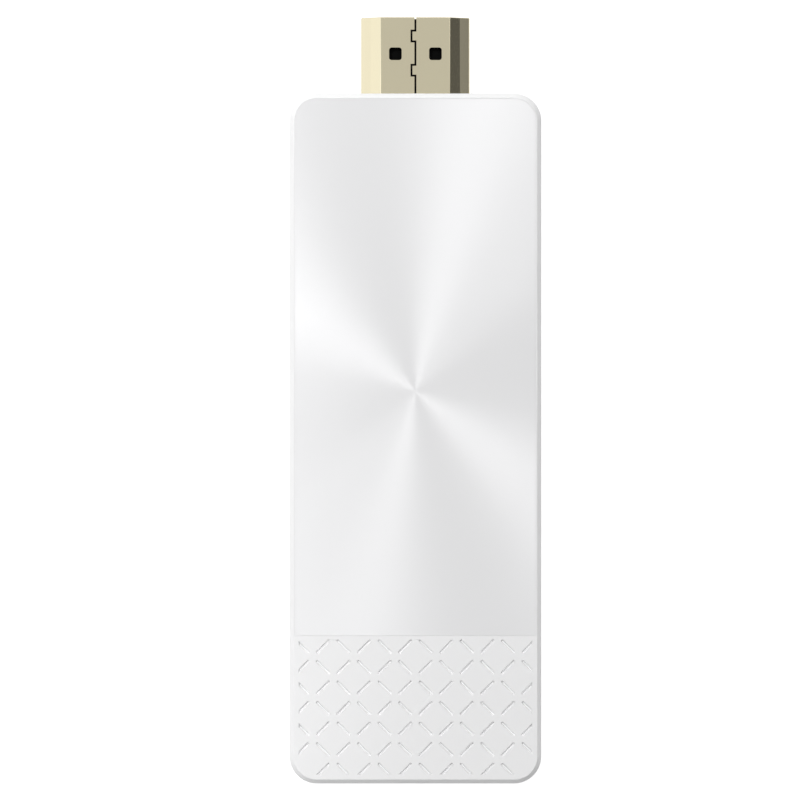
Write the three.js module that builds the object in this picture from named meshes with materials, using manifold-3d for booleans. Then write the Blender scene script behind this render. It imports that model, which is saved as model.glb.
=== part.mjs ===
// A streaming media player stick: a two-shell housing with a video plug at one end and a power socket at the
// other, around a circuit board. Millimetres. x runs across the stick, y along it towards the plug, and z up
// from the rear face to the front face. The origin is on the rear face, in the middle of the whole footprint.
import * as THREE from "three";
import { mergeVertices } from "three/addons/utils/BufferGeometryUtils.js";
import Module from "manifold-3d";

const wasm = await Module();
wasm.setup();

// ---------------------------------------------------------------- driving dimensions

// Housing
const bodyWidth = 32.2;
const bodyLength = 88;
const bodyThickness = 12.6;
const cornerRadius = 3.55;
const sideWall = 1.2;
const frontWall = 1.6;
const rearWall = 1.2;
const frontBevel = 0.65; // flat bevel round the front face
const rearRound = 0.9; // rounded edge round the rear face
const shadowGap = 0.15; // open line between the two shells
const lipThickness = 0.55; // tongue of the front shell, inside the rear shell's rim
const lipDepth = 0.9;
const fitGap = 0.08; // clearance between pieces that slide together
const looseGap = 0.05; // clearance round a piece that is dropped in
const solderGap = 0.01; // under a foot on the board
const supportWidth = 3;
const supportReach = 0.9; // how far a support goes under the board
const supportFromNose = 15;
const supportFromTail = 22;
const beadLength = 3.2;
const beadReach = 0.2;
const beadTop = 0.45; // below the parting plane
const beadBottom = 0.75;
const beadFromEnds = 12;

// Spun plate and the band of slots below it
const plateThickness = 0.4;
const adhesiveThickness = 0.1;
const adhesiveInset = 0.4; // from the plate's edge
const plateRim = 0.14; // land left between the plate and the bevel
const plateGap = 0.07; // hairline round the plate
const gripLength = 18.94; // slotted band, measured from the tail end
const slotPitch = 2.615;
const slotLength = 2.35;
const slotWidth = 0.4;
const slotDepth = 0.3;
const slotMargin = 0.6; // from the bevel to the edge of the slotted field
const firstRowDrop = 1.4; // from the plate to the middle of the first row

// Video plug, a 19-contact plug with a D-shaped shell
const plugWidth = 13.9;
const plugHeight = 4.45;
const plugNarrowWidth = 8.84; // flat of the narrow side
const plugShoulderWidth = 11.4; // across the inner corners of the shoulders
const plugShoulderDrop = 1.1; // narrow side down to those corners
const plugSideDrop = 1.88; // narrow side down to the upright sides
const plugReach = 9.85; // past the housing
const plugInside = 6.2; // behind the nose face
const plugSheet = 0.3;
const plugTipBevel = 0.14;
const windowSize = 1.55;
const windowRadius = 0.28;
const windowSpacing = 5.12;
const windowFromTip = 4.7;
const seamWidth = 0.22;
const seamTabWidth = 0.5;
const seamTabLength = 1.38;
const seamTabsFromTip = [1.74, 6.11];
const earLength = 2.8;
const earInset = 0.5; // from the top and bottom of the upright side
const insulatorTipDrop = 0.25; // behind the plug's tip
const insulatorBackGap = 0.4;
const windowRelief = [2.2, 3, 0.6]; // pocket in the block under each window
const tongueSlotWidth = 11;
const tongueSlotHeight = 1.9;
const tongueSlotDepth = 8;
const contactPitch = 1;
const contactWidth = 0.4;
const contactSheet = 0.2;
const contactPlay = 0.1; // channel wider and deeper than the contact
const contactRise = 0.35; // sprung bump
const wideSideContacts = 10;
const narrowSideContacts = 9;

// Power socket, a five-contact micro receptacle sunk into the board
const socketWidth = 7.6;
const socketNarrowWidth = 5.8;
const socketHeight = 2.6;
const socketCut = 0.9; // height of the slanted corners
const socketDepth = 5.5;
const socketSheet = 0.25;
const socketRecess = 0.25; // mouth behind the tail face
const socketContacts = 5;
const socketContactPitch = 0.65;
const socketContactWidth = 0.3;
const socketContactSheet = 0.12;
const socketTongueWidth = 3.7;
const socketTongueThickness = 0.6;
const socketWingReach = 1.3;
const socketWingLength = 1.1;
const socketWingsFromTail = [2.2, 4.6];
const socketBlockLength = 1.5;
const socketTongueDrop = 0.8; // behind the mouth
const socketContactZ = 0.02;

// Side button and its switch
const buttonFromTail = 31;
const buttonLength = 6;
const buttonHeight = 2.4;
const buttonTravel = 0.4;
const buttonRecess = 0.04; // behind the side face
const buttonOverTravel = 0.15;
const buttonStem = [2, 1.4];
const buttonFlange = 0.7; // overlap of the flange behind the wall
const buttonFlangeThickness = 0.6;
const switchLength = 4.4;
const switchDepth = 2.2;
const switchHeight = 1.7;
const switchFrameSheet = 0.15;
const plungerRadius = 0.55;
const plungerReach = 0.55;
const plungerFoot = 0.4; // what stays in the switch
const domeRise = 0.2;
const domeSheet = 0.08;
const frameFoot = 1.2; // foot of the switch frame
const frameInsets = [0.3, 0.5]; // from the back and the face of the switch
const framePlay = 0.03;

// Circuit board
const boardThickness = 1;
const boardGap = 0.4; // board edge to side wall
const boardPlugGap = 0.2; // to the back of the plug
const fixingInset = 2.4; // screw to board edge
const fixingFromNose = 10.6;
const fixingFromTail = 16.5;
const pilotPlay = 0.04;
const pilotFloor = 0.4;
const holePlay = 0.3;
const notchPlay = 0.15;
const screwRadius = 0.6;
const screwLength = 3.2;
const screwHeadRadius = 1.4;
const screwHeadHeight = 0.7;
const bossRadius = 1.6;

// Light pipe and lamp
const pipeX = 6.6;
const pipeRadius = 0.7;
const pipeFlangeRadius = 1.1;
const pipeFlangeThickness = 0.5;
const pipeLength = 4;
const pipeRecess = 0.05; // behind the tail face
const lampGap = 0.6; // pipe's end to the middle of the lamp
const pipeBoardGap = 0.1; // under the flange

// Vents in the rear shell
const ventLength = 9;
const ventWidth = 1;
const ventPitch = 2.4;
const ventRows = 6;
const ventColumns = 2;
const ventSpacing = 11.5;
const ventsFromNose = 15;

// ---------------------------------------------------------------- places that follow from them

// Heights are counted from the board's mid-plane, where the two shells part.
const overallLength = bodyLength + plugReach;
const tailY = -overallLength / 2;
const noseY = tailY + bodyLength;
const bodyY = (tailY + noseY) / 2;
const frontZ = bodyThickness / 2;
const rearZ = -bodyThickness / 2;
const halfWidth = bodyWidth / 2;
const innerHalfWidth = halfWidth - sideWall;
const ceilingZ = frontZ - frontWall;
const floorZ = rearZ + rearWall;
const boardTop = boardThickness / 2;
const boardHalfWidth = innerHalfWidth - boardGap;
const boardNose = noseY - plugInside - boardPlugGap;
const boardTail = tailY + sideWall + boardGap;
const plateTail = tailY + gripLength;
const pipeZ = boardTop + pipeBoardGap + pipeFlangeRadius;
const spare = 1; // how far a cutting tool runs past what it cuts

const fromNose = (distance) => noseY - distance;
const fromTail = (distance) => tailY + distance;

// ---------------------------------------------------------------- materials

const finish = (color, roughness, metalness = 0) =>
  new THREE.MeshStandardMaterial({ color, roughness, metalness });
const whitePlastic = finish(0xeeeeee, 0.35);
const spunWhite = finish(0xe9e9ea, 0.3, 0.4);
const adhesiveFilm = finish(0xd8d4c8, 0.8);
const goldPlate = finish(0xc6bc9c, 0.3, 1);
const contactGold = finish(0xd9b25a, 0.25, 1);
const blackPlastic = finish(0x111112, 0.5);
const steel = finish(0xb9bbbe, 0.3, 1);
const boardGreen = finish(0x1c5a3a, 0.5);
const chipBlack = finish(0x1c1d1f, 0.6);
const tinPlate = finish(0xc4c6c9, 0.35, 1);
const padGrey = finish(0x8f98a3, 0.9);
const aluminium = finish(0xc9cbcd, 0.4, 1);
const ferriteGrey = finish(0x3c3d40, 0.7);
const tantalum = finish(0xb98a2c, 0.6);
const clearPlastic = finish(0xf2f4f6, 0.15);

// ---------------------------------------------------------------- outlines

// Corners are [x, y, radius], counter-clockwise.
function softOutline(corners) {
  const shape = new THREE.Shape();
  corners.forEach(([x, y, radius], i) => {
    const corner = new THREE.Vector2(x, y);
    const towards = ([nextX, nextY]) => {
      const way = new THREE.Vector2(nextX, nextY).sub(corner).normalize();
      return corner.clone().addScaledVector(way, radius);
    };
    const start = towards(corners.at(i - 1));
    const end = towards(corners[(i + 1) % corners.length]);
    if (i === 0) shape.moveTo(start.x, start.y);
    else shape.lineTo(start.x, start.y);
    if (radius > 0) shape.quadraticCurveTo(x, y, end.x, end.y);
  });
  return shape;
}

// Moves every side of an outline inwards, or outwards if the distance is negative.
function inset(corners, distance) {
  const sideThrough = ([ax, ay], [bx, by]) => {
    const normal = new THREE.Vector2(ay - by, bx - ax).normalize();
    return { normal, offset: normal.x * ax + normal.y * ay + distance };
  };
  return corners.map((corner, i) => {
    const before = sideThrough(corners.at(i - 1), corner);
    const after = sideThrough(corner, corners[(i + 1) % corners.length]);
    const turn = before.normal.cross(after.normal);
    const x = (before.offset * after.normal.y - after.offset * before.normal.y) / turn;
    const y = (after.offset * before.normal.x - before.offset * after.normal.x) / turn;
    return [x, y, Math.max(0, corner[2] - Math.sign(turn) * distance)];
  });
}

// The left half of a symmetric outline, added to the right half.
const mirrored = (rightHalf) => [...rightHalf, ...rightHalf.map(([x, y, r]) => [-x, y, r]).reverse()];

// A round-cornered rectangle whose two ends can have different radii.
function panel(width, low, high, lowRadius, highRadius = lowRadius) {
  const shape = new THREE.Shape();
  const half = width / 2;
  shape.moveTo(-half + lowRadius, low);
  shape.lineTo(half - lowRadius, low);
  if (lowRadius) shape.absarc(half - lowRadius, low + lowRadius, lowRadius, -Math.PI / 2, 0);
  shape.lineTo(half, high - highRadius);
  if (highRadius) shape.absarc(half - highRadius, high - highRadius, highRadius, 0, Math.PI / 2);
  shape.lineTo(-half + highRadius, high);
  if (highRadius) shape.absarc(-half + highRadius, high - highRadius, highRadius, Math.PI / 2, Math.PI);
  shape.lineTo(-half, low + lowRadius);
  if (lowRadius) shape.absarc(-half + lowRadius, low + lowRadius, lowRadius, Math.PI, Math.PI * 1.5);
  return shape;
}

// The housing's footprint, with its sides moved in.
const footprint = (distance) =>
  panel(bodyWidth - 2 * distance, tailY + distance, noseY - distance, cornerRadius - distance);

// A slot with round ends, centred on the origin and running along x.
function stadium(length, width) {
  const reach = (length - width) / 2;
  const shape = new THREE.Shape();
  shape.absarc(reach, 0, width / 2, -Math.PI / 2, Math.PI / 2);
  shape.absarc(-reach, 0, width / 2, Math.PI / 2, Math.PI * 1.5);
  return shape;
}

// A bent strip of sheet, seen from its side: a path of [x, y] points that is given a thickness.
function strip(path, thickness) {
  const points = path.map(([x, y]) => new THREE.Vector2(x, y));
  const normalOf = (a, b) => new THREE.Vector2(a.y - b.y, b.x - a.x).normalize();
  const edge = (side) =>
    points.map((point, i) => {
      const before = normalOf(points[Math.max(i - 1, 0)], points[Math.max(i, 1)]);
      const after = i < points.length - 1 ? normalOf(point, points[i + 1]) : before;
      const mitre = before.clone().add(after).normalize();
      return point.clone().addScaledVector(mitre, (side * thickness) / 2 / mitre.dot(after));
    });
  return new THREE.Shape([...edge(-1), ...edge(1).reverse()]);
}

// ---------------------------------------------------------------- solids

const block = ([x0, x1], [y0, y1], [z0, z1]) =>
  new THREE.BoxGeometry(x1 - x0, y1 - y0, z1 - z0).translate((x0 + x1) / 2, (y0 + y1) / 2, (z0 + z1) / 2);

const pushed = (shape, depth, curveSegments, bevel = {}) =>
  new THREE.ExtrudeGeometry(shape, { depth, curveSegments, bevelEnabled: false, ...bevel });

// A shape drawn in x and y, pushed along z.
const alongZ = (shape, low, high, segments = 6) => pushed(shape, high - low, segments).translate(0, 0, low);

// A shape drawn in x and z, pushed along y.
const alongY = (shape, low, high, segments = 3) =>
  pushed(shape, high - low, segments).rotateX(Math.PI / 2).translate(0, high, 0);

// A shape drawn in y and z, pushed along x.
const alongX = (shape, low, high, segments = 4) =>
  pushed(shape, high - low, segments).rotateX(Math.PI / 2).rotateZ(Math.PI / 2).translate(low, 0, 0);

// A round pin along z.
const pin = (radius, low, high, segments = 16) =>
  new THREE.CylinderGeometry(radius, radius, high - low, segments)
    .rotateX(Math.PI / 2)
    .translate(0, 0, (low + high) / 2);

function solidOf(geometry) {
  const bare = geometry.clone();
  bare.deleteAttribute("normal");
  bare.deleteAttribute("uv");
  const merged = mergeVertices(bare, 1e-4);
  return new wasm.Manifold(
    new wasm.Mesh({
      numProp: 3,
      vertProperties: merged.attributes.position.array,
      triVerts: new Uint32Array(merged.index.array),
    }),
  );
}

function geometryOf(solid) {
  const { vertProperties, triVerts } = solid.getMesh();
  const geometry = new THREE.BufferGeometry();
  geometry.setAttribute("position", new THREE.BufferAttribute(vertProperties, 3));
  geometry.setIndex(new THREE.BufferAttribute(triVerts, 1));
  geometry.computeVertexNormals();
  return geometry;
}

const join = (body, ...pieces) =>
  geometryOf(pieces.reduce((whole, piece) => whole.add(solidOf(piece)), solidOf(body)));

const cut = (body, ...tools) =>
  geometryOf(tools.reduce((left, tool) => left.subtract(solidOf(tool)), solidOf(body)));

const common = (body, tool) => geometryOf(solidOf(body).intersect(solidOf(tool)));

function part(name, geometry, material, [x, y, z] = [0, 0, 0]) {
  const mesh = new THREE.Mesh(geometry, material);
  mesh.name = name;
  mesh.position.set(x, y, z);
  return mesh;
}

function groupAt([x, y, z], ...children) {
  const group = new THREE.Group();
  group.position.set(x, y, z);
  group.add(...children);
  return group;
}

// ---------------------------------------------------------------- openings that both shells share

// Corners of the plug shell in x and z, from the middle of the plug, narrow side up.
const plugCorners = mirrored([
  [plugWidth / 2, -plugHeight / 2, 0.5],
  [plugWidth / 2, plugHeight / 2 - plugSideDrop, 0.35],
  [plugShoulderWidth / 2, plugHeight / 2 - plugShoulderDrop, 0.45],
  [plugNarrowWidth / 2, plugHeight / 2, 0.25],
]);

// Corners of the socket shell in x and z, from the middle of the socket.
const socketCorners = mirrored([
  [socketNarrowWidth / 2, -socketHeight / 2, 0.2],
  [socketWidth / 2, -socketHeight / 2 + socketCut, 0.3],
  [socketWidth / 2, socketHeight / 2, 0.45],
]);

function wallOpenings() {
  const plug = alongY(softOutline(inset(plugCorners, -fitGap)), noseY - sideWall - spare, noseY + spare);
  const socket = alongY(softOutline(inset(socketCorners, -fitGap)), tailY - spare, tailY + sideWall + spare);
  const button = alongX(
    stadium(buttonLength + 2 * fitGap, buttonHeight + 2 * fitGap),
    innerHalfWidth - spare,
    halfWidth + spare,
  ).translate(0, fromTail(buttonFromTail), 0);
  const pipe = pin(pipeRadius + fitGap, tailY - spare, tailY + sideWall + spare)
    .rotateX(-Math.PI / 2)
    .translate(pipeX, 0, pipeZ);
  return [plug, socket, button, pipe];
}

// ---------------------------------------------------------------- housing

// Half of the housing before it is hollowed, standing on the parting plane.
function halfBlank(height, edge, edgeSegments) {
  const blank = pushed(footprint(0), height, 8, {
    bevelEnabled: true,
    bevelThickness: edge,
    bevelSize: edge,
    bevelOffset: -edge,
    bevelSegments: edgeSegments,
  }).translate(0, 0, -edge);
  const below = block([-bodyWidth, bodyWidth], [tailY - spare, noseY + spare], [-height, 0]);
  return cut(blank, below);
}

// Places where the shells grip the board: two along each side.
const supportYs = [fromNose(supportFromNose), fromTail(supportFromTail)];

function supports(low, high) {
  return [-1, 1].flatMap((side) =>
    supportYs.map((y) => {
      const inner = side * (boardHalfWidth - supportReach);
      const outer = side * (innerHalfWidth + sideWall / 2);
      return block(
        [Math.min(inner, outer), Math.max(inner, outer)],
        [y - supportWidth / 2, y + supportWidth / 2],
        [low, high],
      );
    }),
  );
}

// Beads on the front shell's lip that snap into pockets in the rear shell's rim.
const beadYs = [fromNose(beadFromEnds), bodyY, fromTail(beadFromEnds)];

function beads(play) {
  const lipFace = halfWidth - (sideWall - lipThickness);
  return [-1, 1].flatMap((side) =>
    beadYs.map((y) => {
      const root = side * (lipFace - lipThickness / 2);
      const crest = side * (lipFace + beadReach + play);
      return block(
        [Math.min(root, crest), Math.max(root, crest)],
        [y - beadLength / 2 - play, y + beadLength / 2 + play],
        [-beadBottom - play, -beadTop + play],
      );
    }),
  );
}

// The slotted field: short slots on the sides of a lattice of diamonds, trimmed to an even margin.
function gripSlots() {
  const edge = frontBevel + slotMargin;
  const field = alongZ(footprint(edge), frontZ - slotDepth, frontZ + spare, 4);
  const fieldHalf = halfWidth - edge;
  const fieldCorner = cornerRadius - edge;
  const inField = (x, y) => {
    const overX = Math.abs(x) - (fieldHalf - fieldCorner);
    const overY = tailY + edge + fieldCorner - y;
    return overX <= 0 || overY <= 0 || Math.hypot(overX, overY) <= fieldCorner;
  };
  const columns = 2 * Math.ceil((halfWidth - frontBevel) / slotPitch);
  const rows = Math.ceil((gripLength - firstRowDrop - frontBevel) / slotPitch);
  const slots = [];
  for (let row = 0; row < rows; row++) {
    const y = plateTail - firstRowDrop - row * slotPitch;
    for (let column = 0; column < columns; column++) {
      const x = (column - (columns - 1) / 2) * slotPitch;
      if (!inField(x, y)) continue;
      const lean = (row + column) % 2 ? Math.PI / 4 : -Math.PI / 4;
      const slot = alongZ(stadium(slotLength, slotWidth), frontZ - slotDepth - spare, frontZ + spare, 4);
      slots.push(slot.rotateZ(lean).translate(x, y, 0));
    }
  }
  return common(join(...slots), field);
}

const plateOutline = (growth) => {
  const side = frontBevel + plateRim - growth;
  return panel(bodyWidth - 2 * side, plateTail - growth, noseY - side, 0, cornerRadius - side);
};

function frontShell() {
  const cavity = alongZ(footprint(sideWall), -spare, ceilingZ);
  const lip = cut(
    alongZ(footprint(sideWall - lipThickness), -lipDepth, sideWall),
    alongZ(footprint(sideWall), -lipDepth - spare, sideWall + spare),
  );
  const seatZ = frontZ - plateThickness - adhesiveThickness;
  const recess = alongZ(plateOutline(plateGap), seatZ, frontZ + spare, 8);
  const hollow = cut(halfBlank(frontZ, frontBevel, 1), cavity);
  const ribbed = join(hollow, lip, ...beads(0), ...supports(boardTop + fitGap, ceilingZ + frontWall / 2));
  return cut(ribbed, recess, gripSlots(), ...wallOpenings());
}

const fixings = [
  [-(boardHalfWidth - fixingInset), fromNose(fixingFromNose)],
  [-(boardHalfWidth - fixingInset), fromTail(fixingFromTail)],
];

function vents() {
  const slots = [];
  for (let column = 0; column < ventColumns; column++) {
    const x = (column - (ventColumns - 1) / 2) * ventSpacing;
    for (let row = 0; row < ventRows; row++) {
      const slot = alongZ(stadium(ventLength, ventWidth), rearZ - spare, floorZ + spare, 4);
      slots.push(slot.translate(x, fromNose(ventsFromNose + row * ventPitch), 0));
    }
  }
  return slots;
}

function rearShell() {
  const blank = halfBlank(frontZ, rearRound, 3).rotateY(Math.PI);
  const cavity = alongZ(footprint(sideWall), floorZ, spare);
  const groove = cut(
    alongZ(footprint(sideWall - lipThickness - fitGap), -lipDepth - fitGap, spare),
    alongZ(footprint(sideWall + fitGap), -lipDepth - spare, 2 * spare),
  );
  const rimTrim = block([-bodyWidth, bodyWidth], [tailY - spare, noseY + spare], [-shadowGap, spare]);
  const bosses = fixings.map(([x, y]) =>
    pin(bossRadius, rearZ + rearWall / 2, -boardTop - fitGap).translate(x, y, 0),
  );
  const pilots = fixings.map(([x, y]) =>
    pin(screwRadius + pilotPlay, floorZ + pilotFloor, spare).translate(x, y, 0),
  );
  const ribbed = join(
    cut(blank, cavity),
    ...bosses,
    ...supports(rearZ + rearWall / 2, -boardTop - fitGap),
  );
  return cut(ribbed, groove, rimTrim, ...beads(fitGap), ...pilots, ...vents(), ...wallOpenings());
}

function housing() {
  const plateBase = frontZ - plateThickness;
  return groupAt(
    [0, 0, 0],
    part("front_shell", frontShell(), whitePlastic),
    part("rear_shell", rearShell(), whitePlastic),
    part("spun_plate", alongZ(plateOutline(0), plateBase, frontZ, 8), spunWhite),
    part(
      "plate_adhesive",
      alongZ(plateOutline(-adhesiveInset), plateBase - adhesiveThickness, plateBase, 4),
      adhesiveFilm,
    ),
    part("light_pipe", lightPipe(), clearPlastic, [pipeX, tailY, pipeZ]),
  );
}

// A round pipe that carries the lamp's light through the tail wall, with a flange that stops it falling out.
function lightPipe() {
  const profile = [
    [0, pipeRecess],
    [pipeRadius, pipeRecess],
    [pipeRadius, sideWall + fitGap],
    [pipeFlangeRadius, sideWall + fitGap],
    [pipeFlangeRadius, sideWall + fitGap + pipeFlangeThickness],
    [pipeRadius, sideWall + fitGap + pipeFlangeThickness],
    [pipeRadius, pipeLength],
    [0, pipeLength],
  ].map(([radius, y]) => new THREE.Vector2(radius, y));
  return new THREE.LatheGeometry(profile, 16);
}

// ---------------------------------------------------------------- side button and switch

// Counted along x from the housing's side face, inwards.
const flangeOuter = sideWall + looseGap;
const flangeInner = flangeOuter + buttonFlangeThickness;
const plungerTip = flangeInner + buttonTravel + buttonOverTravel;
const switchFace = plungerTip + plungerReach;
const switchBack = switchFace + switchDepth;

function sideButton() {
  const [stemLength, stemHeight] = buttonStem;
  const overlap = 0.1;
  const cap = alongX(stadium(buttonLength, buttonHeight), -flangeOuter - overlap, -buttonRecess, 5);
  const flange = alongX(
    stadium(buttonLength + 2 * buttonFlange, buttonHeight + 2 * buttonFlange),
    -flangeInner,
    -flangeOuter,
    5,
  );
  const stem = block(
    [-plungerTip + framePlay, -flangeInner + overlap],
    [-stemLength / 2, stemLength / 2],
    [-stemHeight / 2, stemHeight / 2],
  );
  return join(cap, flange, stem);
}

function switchBody() {
  const body = block(
    [-switchBack, -switchFace],
    [-switchLength / 2, switchLength / 2],
    [-switchHeight / 2, switchHeight / 2],
  );
  return cut(body, alongXPin(plungerRadius + looseGap, domeSeat, spare));
}

const alongXPin = (radius, low, high) => pin(radius, low, high).rotateY(Math.PI / 2);

// The snap dome in the bottom of the switch, bulging towards the plunger.
const domeSeat = -switchFace - plungerFoot - buttonTravel - domeRise - domeSheet - looseGap;

function snapDome() {
  const steps = 4;
  const arc = (radius, rise) =>
    Array.from({ length: steps + 1 }, (_, i) => {
      const share = i / steps;
      return new THREE.Vector2(radius * share, rise * (1 - share * share));
    });
  const outer = arc(plungerRadius, domeRise + domeSheet);
  const inner = arc(plungerRadius - domeSheet, domeRise);
  const turned = new THREE.LatheGeometry([...inner, ...outer.reverse()], 16);
  return turned.rotateZ(-Math.PI / 2).translate(domeSeat, 0, 0);
}

// A folded sheet over the switch, with a foot on each side that is soldered to the board.
function switchFrame() {
  const halfSpan = switchLength / 2 + framePlay;
  const top = switchHeight / 2 + framePlay;
  const [backInset, faceInset] = frameInsets;
  const foot = boardTop + switchFrameSheet / 2;
  const middle = switchFrameSheet / 2;
  const path = [
    [-halfSpan - frameFoot, foot],
    [-halfSpan - middle, foot],
    [-halfSpan - middle, top + middle],
    [halfSpan + middle, top + middle],
    [halfSpan + middle, foot],
    [halfSpan + frameFoot, foot],
  ];
  return alongX(strip(path, switchFrameSheet), -switchBack + backInset, -switchFace - faceInset);
}

function buttonAndSwitch() {
  return groupAt(
    [halfWidth, fromTail(buttonFromTail), 0],
    part("side_button", sideButton(), whitePlastic),
    part("switch_body", switchBody(), blackPlastic),
    part("switch_frame", switchFrame(), tinPlate),
    part("switch_dome", snapDome(), steel),
    part("switch_plunger", alongXPin(plungerRadius, -switchFace - plungerFoot, -plungerTip), blackPlastic),
  );
}

// ---------------------------------------------------------------- video plug, from the nose face along y

const plugBack = -plugInside;
const insulatorTip = plugReach - insulatorTipDrop;
const insulatorBack = plugBack + insulatorBackGap;
const windowY = plugReach - windowFromTip;

function plugShell() {
  const bevel = {
    bevelEnabled: true,
    bevelThickness: plugTipBevel,
    bevelSize: plugTipBevel,
    bevelOffset: -plugTipBevel,
    bevelSegments: 1,
  };
  const length = plugInside + plugReach - 2 * plugTipBevel;
  const outside = pushed(softOutline(plugCorners), length, 3, bevel)
    .rotateX(Math.PI / 2)
    .translate(0, plugReach - plugTipBevel, 0);
  const inside = alongY(softOutline(inset(plugCorners, plugSheet)), plugBack - spare, plugReach + spare);
  const windows = [-1, 1].map((side) =>
    alongZ(
      panel(windowSize, -windowSize / 2, windowSize / 2, windowRadius),
      -plugHeight,
      plugHeight,
      3,
    ).translate((side * windowSpacing) / 2, windowY, 0),
  );
  const seamPath = [[0, plugReach + spare]];
  for (const start of seamTabsFromTip) {
    const [high, low] = [plugReach - start, plugReach - start - seamTabLength];
    seamPath.push([0, high], [-seamTabWidth, high], [-seamTabWidth, low], [0, low]);
  }
  seamPath.push([0, plugBack - spare]);
  const seam = alongZ(strip(seamPath, seamWidth), plugHeight / 2 - 2 * plugSheet, plugHeight);
  const sideTop = plugHeight / 2 - plugSideDrop;
  const ears = [-1, 1].map((side) => {
    const middle = side * (plugWidth / 2 - plugSheet / 2);
    return block(
      [middle - plugSheet / 2, middle + plugSheet / 2],
      [plugBack - earLength, plugBack + 1],
      [-plugHeight / 2 + earInset, sideTop - earInset],
    );
  });
  return cut(join(cut(outside, inside), ...ears), ...windows, seam);
}

// Each row lies in the block's slot: side is 1 on the narrow side and -1 on the wide side.
const contactRows = [
  { side: -1, count: wideSideContacts, first: 1 },
  { side: 1, count: narrowSideContacts, first: 2 },
];

const contactXs = (count) => Array.from({ length: count }, (_, i) => (i - (count - 1) / 2) * contactPitch);

function plugInsulator() {
  const outline = softOutline(inset(plugCorners, plugSheet + looseGap));
  const [reliefWidth, reliefLength, reliefDepth] = windowRelief;
  const slotTop = tongueSlotHeight / 2;
  const slot = block(
    [-tongueSlotWidth / 2, tongueSlotWidth / 2],
    [insulatorTip - tongueSlotDepth, insulatorTip + spare],
    [-slotTop, slotTop],
  );
  const reliefs = [-1, 1].flatMap((x) =>
    [-1, 1].map((z) =>
      block(
        [-reliefWidth / 2, reliefWidth / 2],
        [-reliefLength / 2, reliefLength / 2],
        [-reliefDepth / 2, reliefDepth / 2],
      ).translate((x * windowSpacing) / 2, windowY, z * (plugHeight / 2 - plugSheet - looseGap)),
    ),
  );
  const channels = contactRows.flatMap(({ side, count }) =>
    contactXs(count).map((x) =>
      block(
        [x - (contactWidth + contactPlay) / 2, x + (contactWidth + contactPlay) / 2],
        [insulatorBack - spare, insulatorTip + spare],
        [-(contactSheet + contactPlay) / 2, (contactSheet + contactPlay) / 2],
      ).translate(0, 0, side * (slotTop + contactSheet / 2)),
    ),
  );
  return cut(alongY(outline, insulatorBack, insulatorTip), slot, ...reliefs, ...channels);
}

// A contact runs back through the block, with a sprung bump at the front and a foot on the board behind.
function plugContact(side) {
  const bed = tongueSlotHeight / 2 + contactSheet / 2;
  const foot = boardTop + contactSheet / 2 + solderGap;
  const bump = bed - contactRise;
  const path = [
    [insulatorTip - 0.5, bed],
    [insulatorTip - 1.3, bump],
    [insulatorTip - 2, bump],
    [insulatorTip - 3.6, bed],
    [insulatorBack - 0.1, bed],
    [insulatorBack - 0.5, foot],
    [insulatorBack - 2.1, foot],
  ].map(([y, z]) => [y, side * z]);
  return alongX(strip(path, contactSheet), -contactWidth / 2, contactWidth / 2);
}

function videoPlug() {
  const contacts = contactRows.flatMap(({ side, count, first }) =>
    contactXs(count).map((x, i) => {
      const number = String(first + 2 * i).padStart(2, "0");
      return part(`video_contact_${number}`, plugContact(side), contactGold, [x, 0, 0]);
    }),
  );
  return groupAt(
    [0, noseY, 0],
    part("video_plug_shell", plugShell(), goldPlate),
    part("video_plug_insulator", plugInsulator(), blackPlastic),
    ...contacts,
  );
}

// ---------------------------------------------------------------- power socket, from the tail face along y

const socketBack = socketRecess + socketDepth;
const socketBlockFront = socketBack - socketBlockLength;

function socketShell() {
  const outline = (distance) => softOutline(inset(socketCorners, distance));
  const tube = cut(
    alongY(outline(0), socketRecess, socketBack),
    alongY(outline(socketSheet), socketRecess - spare, socketBack + spare),
  );
  const wings = [-1, 1].flatMap((side) =>
    socketWingsFromTail.map((y) => {
      const root = side * (socketWidth / 2 - socketSheet / 2);
      const end = side * (socketWidth / 2 + socketWingReach);
      return block(
        [Math.min(root, end), Math.max(root, end)],
        [y - socketWingLength / 2, y + socketWingLength / 2],
        [boardTop + solderGap, boardTop + solderGap + socketSheet],
      );
    }),
  );
  return join(tube, ...wings);
}

const socketContactXs = Array.from(
  { length: socketContacts },
  (_, i) => (i - (socketContacts - 1) / 2) * socketContactPitch,
);

function socketInsulator() {
  const blockOutline = softOutline(inset(socketCorners, socketSheet + looseGap));
  const tongueLow = socketContactZ + socketContactSheet / 2 + 0.02;
  const tongue = block(
    [-socketTongueWidth / 2, socketTongueWidth / 2],
    [socketRecess + socketTongueDrop, socketBlockFront + socketSheet],
    [tongueLow, tongueLow + socketTongueThickness],
  );
  const channels = socketContactXs.map((x) =>
    block(
      [x - socketContactWidth / 2 - 0.04, x + socketContactWidth / 2 + 0.04],
      [socketBlockFront - spare, socketBack + spare],
      [socketContactZ - 0.1, tongueLow],
    ),
  );
  const backBlock = cut(alongY(blockOutline, socketBlockFront, socketBack - 0.1), ...channels);
  return join(backBlock, tongue);
}

function socketContact() {
  const foot = boardTop + socketContactSheet / 2 + solderGap;
  const path = [
    [socketRecess + 1, socketContactZ],
    [socketBack + 0.05, socketContactZ],
    [socketBack + 0.2, foot],
    [socketBack + 1.5, foot],
  ];
  return alongX(strip(path, socketContactSheet), -socketContactWidth / 2, socketContactWidth / 2);
}

function powerSocket() {
  const contacts = socketContactXs.map((x, i) =>
    part(`power_contact_${i + 1}`, socketContact(), contactGold, [x, 0, 0]),
  );
  return groupAt(
    [0, tailY, 0],
    part("power_socket_shell", socketShell(), steel),
    part("power_socket_insulator", socketInsulator(), blackPlastic),
    ...contacts,
  );
}

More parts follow.
